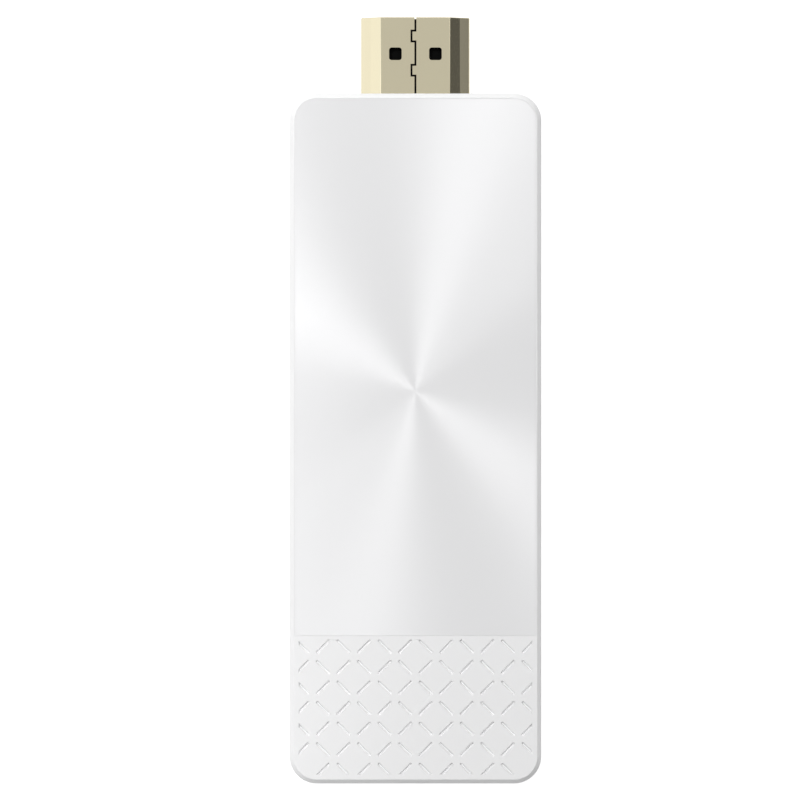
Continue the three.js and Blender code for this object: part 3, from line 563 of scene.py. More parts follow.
WHITE_MOULDING = finish("white_moulding", (0.893, 0.893, 0.896), 0.36, grain=0.22 * MM, mottle=0.008,
                        relief=0.0012 * MM)
SPUN_PEARL = spun_finish()
CHAMPAGNE_PLATING = finish("champagne_plating", (0.83, 0.76, 0.55), 0.12, metallic=1.0,
                           stretch=(6, 0.6, 1), mottle=0.03)
CONTACT_GOLD = finish("contact_gold", (0.93, 0.69, 0.33), 0.2, metallic=1.0)
BLACK_MOULDING = finish("black_moulding", (0.003, 0.003, 0.003), 0.6, mottle=0.1, Specular_IOR_Level=0.05)
SOCKET_STEEL = finish("socket_steel", (0.62, 0.62, 0.63), 0.28, metallic=1.0, stretch=(1, 8, 1))
TINNED_SHEET = finish("tinned_sheet", (0.72, 0.72, 0.73), 0.34, metallic=1.0, stretch=(1, 6, 1))
SOLDER_MASK = finish("solder_mask", (0.012, 0.13, 0.06), 0.35, mottle=0.2, grain=0.9 * MM)
CHIP_RESIN = finish("chip_resin", (0.022, 0.022, 0.024), 0.6, mottle=0.2)
THERMAL_PAD = finish("thermal_pad", (0.28, 0.33, 0.38), 0.85, mottle=0.08)
PLAIN_ALUMINIUM = finish("plain_aluminium", (0.78, 0.79, 0.8), 0.38, metallic=1.0, stretch=(8, 1, 1))
FERRITE = finish("ferrite", (0.045, 0.045, 0.05), 0.7, mottle=0.25)
TANTALUM_CASE = finish("tantalum_case", (0.62, 0.36, 0.05), 0.5, mottle=0.06)
CLEAR_MOULDING = finish("clear_moulding", (0.9, 0.92, 0.94), 0.12, Transmission_Weight=0.85, IOR=1.49)
ADHESIVE_FILM = finish("adhesive_film", (0.7, 0.66, 0.56), 0.8, mottle=0.05)


# ------------------------------------------------------------------ housing edges

def arc(inset, z, radius, start, end, steps):
    """Profile points (inset, z) round a centre. The angle is that of the outward normal above the horizon."""
    turns = [math.radians(start + (end - start) * i / steps) for i in range(steps + 1)]
    return [(inset - radius * math.cos(a), z + radius * math.sin(a)) for a in turns]


def front_edge():
    """From the parting line up the side, round on to the bevel, and round on to the front face."""
    rim = arc(RIM_ROUND, PARTING_Z + RIM_ROUND, RIM_ROUND, -90, 0, 3)
    lean = math.sqrt(0.5)
    bevel_top = (FACE_BEVEL - lean * BEVEL_INNER_RADIUS, FRONT_Z - (1 - lean) * BEVEL_INNER_RADIUS)
    outer_inset = MOULD_DRAFT + BEVEL_OUTER_RADIUS
    run = bevel_top[0] - (outer_inset - lean * BEVEL_OUTER_RADIUS)
    outer_z = bevel_top[1] - run - lean * BEVEL_OUTER_RADIUS
    outer = arc(outer_inset, outer_z, BEVEL_OUTER_RADIUS, 0, 45, 6)
    inner = arc(FACE_BEVEL, FRONT_Z - BEVEL_INNER_RADIUS, BEVEL_INNER_RADIUS, 45, 90, 5)
    return rim + outer + inner


def rear_edge():
    """From the middle of the rear face round the edge, up the side and round on to the rim."""
    rim_z = PARTING_Z - SHADOW_GAP
    low = arc(REAR_ROUND + MOULD_DRAFT, REAR_Z + REAR_ROUND, REAR_ROUND, -90, 0, 10)
    high = arc(RIM_ROUND, rim_z - RIM_ROUND, RIM_ROUND, 0, 90, 3)
    return low + high


def field_cutter(name, slot, tree_name, columns, rows, pitches, corner, lean, field):
    """A field of slots, laid out by a tree of nodes with named sizes, as one plain mesh."""
    tree = bpy.data.node_groups.new(tree_name, "GeometryNodeTree")
    face = tree.interface
    wanted = {
        "Slot": ("NodeSocketObject", slot), "Columns": ("NodeSocketInt", columns),
        "Rows": ("NodeSocketInt", rows), "Column pitch": ("NodeSocketFloat", pitches[0]),
        "Row pitch": ("NodeSocketFloat", pitches[1]), "Middle": ("NodeSocketVector", corner),
        "Lean": ("NodeSocketFloat", lean), "Field half width": ("NodeSocketFloat", field[0]),
        "Field low": ("NodeSocketFloat", field[1]), "Field corner": ("NodeSocketFloat", field[2]),
    }
    face.new_socket("Geometry", in_out="OUTPUT", socket_type="NodeSocketGeometry")
    for label, (kind, _) in wanted.items():
        face.new_socket(label, in_out="INPUT", socket_type=kind)
    given = wire(tree, "NodeGroupInput").outputs
    size_x = maths(tree, "MULTIPLY", maths(tree, "SUBTRACT", given["Columns"], 1.0), given["Column pitch"])
    size_y = maths(tree, "MULTIPLY", maths(tree, "SUBTRACT", given["Rows"], 1.0), given["Row pitch"])
    grid = wire(tree, "GeometryNodeMeshGrid",
                {"Size X": size_x, "Size Y": size_y, "Vertices X": given["Columns"],
                 "Vertices Y": given["Rows"]}).outputs["Mesh"]
    moved = wire(tree, "GeometryNodeTransform",
                 {"Geometry": grid, "Translation": given["Middle"]}).outputs[0]
    place = wire(tree, "GeometryNodeInputPosition").outputs[0]
    from_middle = along(tree, "SUBTRACT", place, given["Middle"])
    split = wire(tree, "ShaderNodeSeparateXYZ", {0: from_middle}).outputs
    column = maths(tree, "DIVIDE", maths(tree, "ADD", split[0], maths(tree, "MULTIPLY", size_x, 0.5)),
                   given["Column pitch"])
    row = maths(tree, "DIVIDE", maths(tree, "SUBTRACT", maths(tree, "MULTIPLY", size_y, 0.5), split[1]),
                given["Row pitch"])
    count = maths(tree, "ROUND", maths(tree, "ADD", column, row))
    odd = maths(tree, "MODULO", count, 2.0)
    sign = maths(tree, "SUBTRACT", maths(tree, "MULTIPLY", odd, 2.0), 1.0)
    turn = wire(tree, "ShaderNodeCombineXYZ", {2: maths(tree, "MULTIPLY", sign, given["Lean"])}).outputs[0]
    where = wire(tree, "ShaderNodeSeparateXYZ", {0: place}).outputs
    side = maths(tree, "SUBTRACT", maths(tree, "ABSOLUTE", where[0]),
                 maths(tree, "SUBTRACT", given["Field half width"], given["Field corner"]))
    below = maths(tree, "SUBTRACT", maths(tree, "ADD", given["Field low"], given["Field corner"]), where[1])
    reach = maths(tree, "SQRT", maths(tree, "ADD",
                  maths(tree, "POWER", maths(tree, "MAXIMUM", side, 0.0), 2.0),
                  maths(tree, "POWER", maths(tree, "MAXIMUM", below, 0.0), 2.0)))
    outside = wire(tree, "FunctionNodeCompare", {0: reach, 1: given["Field corner"]},
                   data_type="FLOAT", operation="GREATER_THAN").outputs[0]
    kept = wire(tree, "GeometryNodeDeleteGeometry", {"Geometry": moved, "Selection": outside},
                domain="POINT").outputs[0]
    shape = wire(tree, "GeometryNodeObjectInfo", {"Object": given["Slot"]}).outputs["Geometry"]
    rotation = wire(tree, "FunctionNodeEulerToRotation", {0: turn}).outputs[0]
    copies = wire(tree, "GeometryNodeInstanceOnPoints",
                  {"Points": kept, "Instance": shape, "Rotation": rotation}).outputs[0]
    real = wire(tree, "GeometryNodeRealizeInstances", {0: copies}).outputs[0]
    done = wire(tree, "GeometryNodeSetMaterial", {"Geometry": real, "Material": WHITE_MOULDING}).outputs[0]
    out = wire(tree, "NodeGroupOutput")
    tree.links.new(done, out.inputs["Geometry"])

    return laid_out(name, tree, wanted, slot)


def grip_slot():
    """The shape that one slot leaves: a narrow floor, leaning walls and an open top above the face."""
    top_z = FRONT_Z + OVERRUN
    floor_z = FRONT_Z - SLOT_DEPTH
    outline = stadium(SLOT_LENGTH, SLOT_WIDTH)
    levels = [
        (-SLOT_WALL_DRAFT - SLOT_SOFTENING, floor_z),
        (-SLOT_WALL_DRAFT, floor_z + SLOT_SOFTENING),
        (-SLOT_SOFTENING, FRONT_Z - SLOT_SOFTENING),
        (SLOT_SOFTENING, FRONT_Z),
        (SLOT_SOFTENING, top_z),
    ]
    rings = [in_plan(rounded(outline, grow, 6), z) for grow, z in levels]
    return as_object("grip_slot", loft(rings))


def grip_field():
    middle_y = PLATE_LOW.y - FIRST_ROW_DROP - (SLOT_ROWS - 1) / 2 * SLOT_PITCH
    half = HALF_WIDTH - SLOT_FIELD_EDGE
    low = TAIL_Y + SLOT_FIELD_EDGE
    corner = CORNER_RADIUS - SLOT_FIELD_EDGE
    slots = field_cutter("grip_field", grip_slot(), "grip_slots", SLOT_COLUMNS, SLOT_ROWS,
                         (SLOT_PITCH, SLOT_PITCH), (0, middle_y, 0), math.radians(45),
                         (half, low, corner))
    levels = ((SLOT_FIELD_EDGE + 2 * SLOT_WALL_DRAFT, FRONT_Z - 2 * SLOT_DEPTH), (SLOT_FIELD_EDGE, FRONT_Z),
              (SLOT_FIELD_EDGE, FRONT_Z + 2 * OVERRUN))
    trim = as_object("trim", loft([footprint(inset, z) for inset, z in levels]))
    return boolean(slots, trim, "INTERSECT")


def plate_outline(grow, z):
    side = HALF_WIDTH - PLATE_HIGH.x - grow
    radius = CORNER_RADIUS - side
    return panel_ring(HALF_WIDTH - side, PLATE_LOW.y - grow, NOSE_Y - side, SHARPEST_CORNER, radius, z)


# ------------------------------------------------------------------ openings through both shells

PLUG_CORNERS = mirrored([
    (PLUG_HALF_WIDTH, -PLUG_HALF_HEIGHT, 0.5 * MM), (PLUG_HALF_WIDTH, PLUG_SIDE_TOP, 0.4 * MM),
    (5.7 * MM, 1.125 * MM, 0.45 * MM), (4.42 * MM, PLUG_HALF_HEIGHT, 0.06 * MM),
])
SOCKET_CORNERS = mirrored([
    (2.9 * MM, -SOCKET_HALF_HEIGHT, 0.25 * MM), (SOCKET_HALF_WIDTH, -0.4 * MM, 0.35 * MM),
    (SOCKET_HALF_WIDTH, SOCKET_HALF_HEIGHT, 0.45 * MM),
])


def lifted(points, rise):
    return [Vector((u, v + rise)) for u, v in points]


def mouth(name, corners, rise, outer_y, inner_y):
    """A cutter along y with a small chamfer at the housing's face."""
    sign = math.copysign(1, outer_y - inner_y)
    stations = [
        (inner_y, 0), (outer_y - sign * MOUTH_CHAMFER, 0),
        (outer_y + sign * MOUTH_CHAMFER, 2 * MOUTH_CHAMFER),
    ]
    rings = [
        facing_y(lifted(rounded(corners, OPENING_PLAY + grow), rise), y)
        for y, grow in stations
    ]
    return as_object(name, loft(rings))


def button_outline(grow):
    return rounded(stadium(BUTTON_LENGTH, BUTTON_HEIGHT), grow, 12)


def button_opening():
    inner = HALF_WIDTH - SIDE_WALL - OVERRUN
    stations = [(inner, 0), (HALF_WIDTH - MOUTH_CHAMFER - MOULD_DRAFT, 0),
                (HALF_WIDTH + MOUTH_CHAMFER, 2 * MOUTH_CHAMFER)]
    rings = [
        facing_x([Vector((u + BUTTON_Y, v + PARTING_Z)) for u, v in button_outline(OPENING_PLAY + grow)], x)
        for x, grow in stations
    ]
    return as_object("button_opening", loft(rings))


def pipe_opening():
    radius = PIPE_RADIUS + OPENING_PLAY
    inner = TAIL_Y + SIDE_WALL + OVERRUN
    stations = [(inner, 0), (TAIL_Y + MOUTH_CHAMFER, 0), (TAIL_Y - MOUTH_CHAMFER, 2 * MOUTH_CHAMFER)]
    rings = [
        facing_y([Vector((u + PIPE_X, v + PIPE_Z)) for u, v in circle(radius + grow)], y)
        for y, grow in stations
    ]
    return as_object("pipe_opening", loft(rings))


def wall_openings():
    return [
        mouth("plug_opening", PLUG_CORNERS, PARTING_Z, NOSE_Y, NOSE_Y - SIDE_WALL - OVERRUN),
        mouth("socket_opening", SOCKET_CORNERS, PARTING_Z, TAIL_Y, TAIL_Y + SIDE_WALL + OVERRUN),
        button_opening(),
        pipe_opening(),
    ]


# ------------------------------------------------------------------ housing

def supports(low, high):
    """Four ribs that reach in from the side walls and grip the board."""
    inner = BOARD_HIGH.x - SUPPORT_REACH
    outer = HALF_WIDTH - SIDE_WALL / 2
    half = SUPPORT_WIDTH / 2
    ribs = []
    for y in (NOSE_Y - SUPPORTS_FROM_NOSE, TAIL_Y + SUPPORTS_FROM_TAIL):
        for x0, x1 in ((-outer, -inner), (inner, outer)):
            ribs.append(brick((x0, y - half, low), (x1, y + half, high), SUPPORT_CORNER))
    return ribs


def post(x, y, radius, low, high):
    """A round post or hole along z."""
    rings = [in_plan([point + Vector((x, y)) for point in circle(radius)], z) for z in (low, high)]
    return as_object("post", loft(rings))


def screw_places():
    boxes = [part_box(f"board_screw_{number}") for number in (1, 2)]
    return [((low.x + high.x) / 2, (low.y + high.y) / 2) for low, high in boxes]


def front_shell():
    """The white front moulding: bevelled edge, seat for the plate, band of slots, lip round the rim."""
    ceiling = FRONT_Z - FRONT_WALL
    lip_low = PARTING_Z - LIP_DEPTH
    profile = [
        (SIDE_WALL, ceiling), (SIDE_WALL, lip_low),
        (SIDE_WALL - LIP_THICKNESS, lip_low), (SIDE_WALL - LIP_THICKNESS, PARTING_Z),
        *front_edge(),
    ]
    shell = as_object("front_shell_moulding", loft([footprint(i, z) for i, z in profile]), WHITE_MOULDING)
    seat_low = FRONT_Z - PLATE_SEAT
    seat = [
        plate_outline(PLATE_GROOVE, seat_low),
        plate_outline(PLATE_GROOVE, FRONT_Z - PLATE_EDGE),
        plate_outline(PLATE_GROOVE + 2 * PLATE_EDGE, FRONT_Z + PLATE_EDGE),
    ]
    join(shell, *supports(BOARD_HIGH.z + LIP_PLAY, ceiling + FRONT_WALL / 2))
    cut(shell, as_object("seat", loft(seat)), grip_field(), *wall_openings())
    return smooth(shell)


def spun_plate():
    """The thin front plate, with its edges just broken."""
    rings = [
        plate_outline(0, PLATE_LOW.z),
        plate_outline(0, FRONT_Z - PLATE_EDGE),
        plate_outline(-PLATE_EDGE * 0.3, FRONT_Z - PLATE_EDGE * 0.3),
        plate_outline(-PLATE_EDGE, FRONT_Z),
    ]
    return smooth(as_object("spun_front_plate", loft(rings), SPUN_PEARL))


def vent_field():
    """Two columns of vents through the rear face."""
    top_z = REAR_Z + REAR_WALL + OVERRUN
    outline = stadium(VENT_LENGTH, VENT_WIDTH)
    levels = [(2 * VENT_CHAMFER, REAR_Z - VENT_CHAMFER), (0, REAR_Z + VENT_CHAMFER), (0, top_z)]
    slot = as_object("vent", loft([in_plan(rounded(outline, grow, 8), z) for grow, z in levels]))
    middle = (0, NOSE_Y - VENTS_FROM_NOSE - (VENT_ROWS - 1) / 2 * VENT_PITCH, 0)
    return field_cutter("vent_field", slot, "rear_vents", VENT_COLUMNS, VENT_ROWS,
                        (VENT_SPACING, VENT_PITCH), middle, 0.0, (HALF_WIDTH, TAIL_Y, CORNER_RADIUS))


def rear_shell():
    """The white rear moulding: rounded edge, vents, and a rim that takes the front shell's lip."""
    floor = REAR_Z + REAR_WALL
    rebate = SIDE_WALL - LIP_THICKNESS - LIP_PLAY
    rebate_low = PARTING_Z - LIP_DEPTH - LIP_PLAY
    rim_z = PARTING_Z - SHADOW_GAP
    profile = [
        *rear_edge(),
        (rebate, rim_z), (rebate, rebate_low), (SIDE_WALL, rebate_low), (SIDE_WALL, floor),
    ]
    shell = as_object("rear_shell_moulding", loft([footprint(i, z) for i, z in profile]), WHITE_MOULDING)
    under_board = BOARD_LOW.z - LIP_PLAY
    join(shell, *supports(floor - REAR_WALL / 2, under_board))
    join(shell, *[post(x, y, BOSS_RADIUS, floor - REAR_WALL / 2, under_board) for x, y in screw_places()])
    cut(shell, *[post(x, y, PILOT_RADIUS, floor + PILOT_FLOOR, PARTING_Z) for x, y in screw_places()])
    cut(shell, vent_field(), *wall_openings())
    return smooth(shell)


def housing():
    fit(front_shell(), "stick", "white_plastic", "front_shell")
    fit(rear_shell(), "stick", "white_plastic", "rear_shell")
    fit(spun_plate(), "stick", "spun_white", "spun_plate")


# ------------------------------------------------------------------ video plug

PLUG_BACK = NOSE_Y - PLUG_INSIDE
PLUG_TIP = PLUG_HIGH.y
BLOCK_TIP = PLUG_TIP - BLOCK_DROP
BLOCK_BACK = PLUG_BACK + BLOCK_BACK_INSET
SLOT_TOP = TONGUE_SLOT_HEIGHT / 2
CONTACT_BED = SLOT_TOP + CONTACT_SHEET / 2


# How far behind the mouth, and how far in from the outside, in thicknesses of the sheet.
ROLLED_EDGE = [(0.3, 0), (0.24, 0.03), (0.12, 0.22), (0.02, 0.42), (0, 0.5), (0.02, 0.58), (0.12, 0.78),
               (0.24, 0.97), (0.3, 1)]


def sleeve(name, corners, sheet, back, mouth_y, material):
    """A tube of sheet along y whose edge at the mouth is rolled over."""
    sign = math.copysign(1, mouth_y - back)
    edge = [(mouth_y - sign * behind * sheet, -inwards * sheet) for behind, inwards in ROLLED_EDGE]
    stations = [(back, 0), *edge, (back, -sheet)]
    rings = [facing_y(lifted(rounded(corners, grow, 6), PARTING_Z), y) for y, grow in stations]
    return as_object(name, loft(rings, closed=True), material)


def plug_windows():
    """Cutters for the two square windows, which go through the narrow side and the wide side."""
    half = WINDOW_SIZE / 2
    square = rectangle(half, -half, half, WINDOW_RADIUS)
    edge = PLUG_HALF_HEIGHT
    levels = ((-edge - OVERRUN, SHEET_BREAK), (-edge, SHEET_BREAK), (-edge + 2 * SHEET_BREAK, 0),
              (edge - 2 * SHEET_BREAK, 0), (edge, SHEET_BREAK), (edge + OVERRUN, SHEET_BREAK))
    rings = [in_plan(rounded(square, grow), z + PARTING_Z) for z, grow in levels]
    middle = (0, PLUG_TIP - WINDOW_FROM_TIP, 0)
    return row_of("plug_windows", as_object("window", loft(rings)), 2, WINDOW_SPACING, middle,
                  CHAMPAGNE_PLATING)


def plug_seam():
    """A cutter for the seam down the narrow side, which steps aside round two locking tabs."""
    path = [(0, PLUG_TIP + OVERRUN)]
    for start in SEAM_TABS_FROM_TIP:
        high, low = PLUG_TIP - start, PLUG_TIP - start - SEAM_TAB_LENGTH
        path += [(0, high), (-SEAM_TAB_WIDTH, high), (-SEAM_TAB_WIDTH, low), (0, low)]
    path.append((0, PLUG_BACK - OVERRUN))
    edge = PARTING_Z + PLUG_HALF_HEIGHT
    levels = ((edge - 2 * PLUG_SHEET, 0), (edge - SHEET_BREAK, 0), (edge + SHEET_BREAK, 2 * SHEET_BREAK),
              (edge + OVERRUN, 2 * SHEET_BREAK))
    return as_object("seam", loft([in_plan(ribbon(path, SEAM_WIDTH + wider), z) for z, wider in levels]))


def plug_shell():
    """The plated sheet shell: folded round the block, open at the tip, with two ears into the board."""
    shell = sleeve("video_plug_sleeve", PLUG_CORNERS, PLUG_SHEET, PLUG_BACK, PLUG_TIP, CHAMPAGNE_PLATING)
    outer = PLUG_HIGH.x - EAR_EASE
    inner = PLUG_HIGH.x - PLUG_SHEET + EAR_EASE
    low_z = PARTING_Z - PLUG_HALF_HEIGHT + PLUG_EAR_INSET
    high_z = PARTING_Z + PLUG_SIDE_TOP - PLUG_EAR_INSET
    ears = [brick((x0, PLUG_LOW.y, low_z), (x1, PLUG_BACK + OVERRUN, high_z))
            for x0, x1 in ((-outer, -inner), (inner, outer))]
    join(shell, *ears)
    cut(shell, plug_windows(), plug_seam())
    return smooth(shell)


def contact_channels(width, sheet, count, pitch, ys, z, name):
    reach = (sheet + CONTACT_PLAY) / 2
    half = (width + CONTACT_PLAY) / 2
    channel = brick((-half, ys[0], z - reach), (half, ys[1], z + reach))
    return row_of(name, channel, count, pitch, (0, 0, 0), BLACK_MOULDING)


def plug_block():
    """The black block inside the plug: a slot for the mating tongue, channels, and pockets at the windows."""
    grow = -PLUG_SHEET - BLOCK_CLEARANCE
    stations = ((BLOCK_BACK, grow), (BLOCK_TIP - BLOCK_CHAMFER, grow), (BLOCK_TIP, grow - BLOCK_CHAMFER))
    rings = [facing_y(lifted(rounded(PLUG_CORNERS, g, 6), PARTING_Z), y) for y, g in stations]
    block = as_object("video_plug_block", loft(rings), BLACK_MOULDING)
    corners = rectangle(TONGUE_SLOT_WIDTH / 2, -SLOT_TOP, SLOT_TOP, TONGUE_CORNER)
    stations = ((BLOCK_TIP - TONGUE_SLOT_DEPTH, 0), (BLOCK_TIP - TONGUE_LEAD, 0),
                (BLOCK_TIP + TONGUE_LEAD, TONGUE_LEAD))
    slot = loft([facing_y(lifted(rounded(corners, g), PARTING_Z), y) for y, g in stations])
    cut(block, as_object("tongue_slot", slot))
    for side, count in ((-1, WIDE_CONTACTS), (1, NARROW_CONTACTS)):
        bed = PARTING_Z + side * CONTACT_BED
        cut(block, contact_channels(CONTACT_WIDTH, CONTACT_SHEET, count, CONTACT_PITCH,
                                    (BLOCK_BACK - OVERRUN, BLOCK_TIP + OVERRUN), bed, "plug_channels"))
        face = PARTING_Z + side * (PLUG_HALF_HEIGHT - PLUG_SHEET)
        inner = PARTING_Z + side * (SLOT_TOP + CONTACT_SHEET + POCKET_WALL)
        middle_y = PLUG_TIP - WINDOW_FROM_TIP
        pocket = brick((-POCKET_WIDTH / 2, middle_y - POCKET_LENGTH / 2, min(face, inner)),
                       (POCKET_WIDTH / 2, middle_y + POCKET_LENGTH / 2, max(face, inner)), POCKET_CORNER)
        cut(block, row_of("window_pockets", pocket, 2, WINDOW_SPACING, (0, 0, 0), BLACK_MOULDING))
    return smooth(block)


def plug_contacts():
    """Nineteen sprung contacts in two rows, each bent from one strip."""
    bump = CONTACT_BED - CONTACT_SPRING
    foot = BOARD_HIGH.z - PARTING_Z + CONTACT_SHEET / 2 + SOLDER_GAP
    bends = [
        (BLOCK_TIP - CONTACT_NOSE, CONTACT_BED),
        (BLOCK_TIP - CONTACT_CREST[0], bump), (BLOCK_TIP - CONTACT_CREST[1], bump),
        (BLOCK_TIP - CONTACT_HEEL, CONTACT_BED), (BLOCK_BACK - CONTACT_TAIL, CONTACT_BED),
        (BLOCK_BACK - CONTACT_FOOT[0], foot), (BLOCK_BACK - CONTACT_FOOT[1], foot),
    ]
    rows = []
    for side, count in ((-1, WIDE_CONTACTS), (1, NARROW_CONTACTS)):
        path = eased([(y, PARTING_Z + side * z) for y, z in bends], CONTACT_BEND)
        strip = bent_strip("contact", path, CONTACT_SHEET, CONTACT_WIDTH)
        rows.append(row_of("plug_contacts", strip, count, CONTACT_PITCH, (0, 0, 0), CONTACT_GOLD))
    return gathered("video_plug_contacts", *rows)


def gathered(name, *pieces):
    """Separate bodies of one kind, kept as one piece."""
    shape = bmesh.new()
    for piece in pieces:
        shape.from_mesh(piece.data)
    made = as_object(name, shape, pieces[0].data.materials[0])
    for piece in pieces:
        bpy.data.objects.remove(piece)
    return smooth(made)


def video_plug():
    fit(plug_shell(), "stick", "gold_plate", "video_plug_shell")
    fit(plug_block(), "stick", "black_plastic", "video_plug_insulator")
    names = [f"video_contact_{number:02d}" for number in range(1, WIDE_CONTACTS + NARROW_CONTACTS + 1)]
    fit(plug_contacts(), "stick", "contact_gold", *names)


# ------------------------------------------------------------------ power socket

SOCKET_MOUTH = SOCKET_LOW.y
SOCKET_BACK = SOCKET_HIGH.y
POWER_BLOCK_FRONT = SOCKET_BACK - POWER_BLOCK_LENGTH
POWER_CONTACT_Z = PARTING_Z + POWER_CONTACT_RISE


def power_sleeve():
    """The steel shell of the socket, with four wings soldered to the board."""
    shell = sleeve("power_socket_sleeve", SOCKET_CORNERS, POWER_SHEET, SOCKET_BACK, SOCKET_MOUTH,
                   SOCKET_STEEL)
    half = WING_LENGTH / 2
    low = BOARD_HIGH.z + SOLDER_GAP
    wings = []
    for from_tail in WINGS_FROM_TAIL:
        y = TAIL_Y + from_tail
        for side in (-1, 1):
            x0, x1 = sorted((side * (SOCKET_HALF_WIDTH - POWER_SHEET / 2), side * SOCKET_HIGH.x))
            wings.append(brick((x0, y - half, low), (x1, y + half, low + POWER_SHEET), WING_CORNER))
    return smooth(join(shell, *wings))


def power_block():
    """The black block at the back of the socket, with the tongue that carries the contacts."""
    grow = -POWER_SHEET - BLOCK_CLEARANCE
    stations = (POWER_BLOCK_FRONT, SOCKET_BACK - POWER_BLOCK_INSET)
    rings = [facing_y(lifted(rounded(SOCKET_CORNERS, grow), PARTING_Z), y) for y in stations]
    block = as_object("power_socket_block", loft(rings), BLACK_MOULDING)
    low = POWER_CONTACT_Z + POWER_CONTACT_SHEET / 2 + TONGUE_GAP
    front = SOCKET_MOUTH + TONGUE_FROM_MOUTH
    corners = rectangle(TONGUE_HALF_WIDTH, low, low + TONGUE_THICKNESS, TONGUE_EDGE)
    stations = ((front, -TONGUE_TAPER), (front + TONGUE_TAPER, 0), (POWER_BLOCK_FRONT + TONGUE_ROOT, 0))
    tongue = loft([facing_y(rounded(corners, g), y) for y, g in stations])
    join(block, as_object("tongue", tongue))
    channel_low = POWER_CONTACT_Z - POWER_CHANNEL_DROP
    channel = brick((-POWER_CHANNEL_HALF, POWER_BLOCK_FRONT - OVERRUN, channel_low),
                    (POWER_CHANNEL_HALF, SOCKET_BACK + OVERRUN, low))
    cut(block, row_of("power_channels", channel, POWER_CONTACTS, POWER_PITCH, (0, 0, 0), BLACK_MOULDING))
    return smooth(block)


def power_contacts():
    """Five flat contacts under the tongue, each with a foot on the board."""
    foot = BOARD_HIGH.z + POWER_CONTACT_SHEET / 2 + SOLDER_GAP
    bends = [(SOCKET_MOUTH + POWER_CONTACT_NOSE, POWER_CONTACT_Z),
             (SOCKET_BACK + POWER_CONTACT_DROP[0], POWER_CONTACT_Z),
             (SOCKET_BACK + POWER_CONTACT_DROP[1], foot), (SOCKET_BACK + POWER_FOOT_REACH, foot)]
    path = eased(bends, POWER_CONTACT_BEND)
    strip = bent_strip("contact", path, POWER_CONTACT_SHEET, POWER_CONTACT_WIDTH)
    row = row_of("power_contacts", strip, POWER_CONTACTS, POWER_PITCH, (0, 0, 0), CONTACT_GOLD)
    return gathered("power_socket_contacts", row)


def power_socket():
    fit(power_sleeve(), "stick", "steel", "power_socket_shell")
    fit(power_block(), "stick", "black_plastic", "power_socket_insulator")
    names = [f"power_contact_{number}" for number in range(1, POWER_CONTACTS + 1)]
    fit(power_contacts(), "stick", "contact_gold", *names)


# ------------------------------------------------------------------ side button and light pipe

def side_button():
    """A soft-edged cap with a shallow dish, a flange behind the wall and a stem to the switch."""
    face = BUTTON_HIGH.x
    flange_outer = HALF_WIDTH - SIDE_WALL - BUTTON_WALL_GAP
    flange_inner = flange_outer - FLANGE_THICKNESS
    turns = [math.radians(a) for a in range(0, 91, 15)]
    edge = [(face - BUTTON_EDGE * (1 - math.sin(a)), -BUTTON_EDGE * (1 - math.cos(a))) for a in turns]
    dish = [(face - BUTTON_DISH * share * share, -BUTTON_EDGE - share * BUTTON_DISH_REACH)
            for share in (0.25, 0.5, 0.75, 1.0)]
    stations = [(flange_inner, BUTTON_FLANGE - FLANGE_CHAMFER),
                (flange_inner + FLANGE_CHAMFER, BUTTON_FLANGE),
                (flange_outer, BUTTON_FLANGE), (flange_outer, 0), *edge, *dish]
    rings = [facing_x([Vector((u + BUTTON_Y, v + PARTING_Z)) for u, v in button_outline(grow)], x)
             for x, grow in stations]
    cap = as_object("side_button_cap", loft(rings), WHITE_MOULDING)
    stem = brick((BUTTON_LOW.x, BUTTON_Y - STEM_HALF_LENGTH, PARTING_Z - STEM_HALF_HEIGHT),
                 (flange_inner + STEM_OVERLAP, BUTTON_Y + STEM_HALF_LENGTH, PARTING_Z + STEM_HALF_HEIGHT),
                 STEM_CORNER)
    return smooth(join(cap, stem))


def light_pipe():
    """A clear round pipe with a domed face and a flange behind the tail wall."""
    face = PIPE_LOW.y
    flange = TAIL_Y + SIDE_WALL + PIPE_WALL_GAP
    flange_end = flange + PIPE_FLANGE
    dome = [(face + PIPE_DOME * share * share, max(share, 0.02) * (PIPE_RADIUS - PIPE_EDGE))
            for share in (0.0, 0.3, 0.6, 0.8, 1.0)]
    stations = [*dome, (face + PIPE_DOME + PIPE_EDGE, PIPE_RADIUS), (flange, PIPE_RADIUS),
                (flange, PIPE_FLANGE_RADIUS), (flange_end, PIPE_FLANGE_RADIUS), (flange_end, PIPE_RADIUS),
                (PIPE_HIGH.y, PIPE_RADIUS)]
    rings = [facing_y([Vector((u + PIPE_X, v + PIPE_Z)) for u, v in circle(radius)], y)
             for y, radius in stations]
    return smooth(as_object("clear_light_pipe", loft(rings), CLEAR_MOULDING))


def small_mouldings():
    fit(side_button(), "button", "white_plastic", "side_button")
    fit(light_pipe(), "stick", "clear_plastic", "light_pipe")


# ------------------------------------------------------------------ carried-over pieces

FINISHED_NODES = [
    (ADHESIVE_FILM, ["plate_adhesive"]),
    (BLACK_MOULDING, ["switch_body", "switch_plunger"]),
    (TINNED_SHEET, ["switch_frame", "switch_dome", "shield_fence", "shield_lid", "radio_can",
                    "clock_crystal"]),
    (SOLDER_MASK, ["main_board"]),
    (CHIP_RESIN, ["processor", "memory_chip_1", "memory_chip_2", "storage_chip", "radio_chip", "power_chip"]),
    (THERMAL_PAD, ["processor_pad", "lid_pad"]),
    (PLAIN_ALUMINIUM, ["heat_spreader"]),
    (CONTACT_GOLD, ["antenna_left", "antenna_right"]),
    (FERRITE, ["power_inductor_1", "power_inductor_2"]),
    (TANTALUM_CASE, ["bulk_capacitor"]),
    (CLEAR_MOULDING, ["status_lamp"]),
    (SOCKET_STEEL, ["board_screw_1", "board_screw_2"]),
]


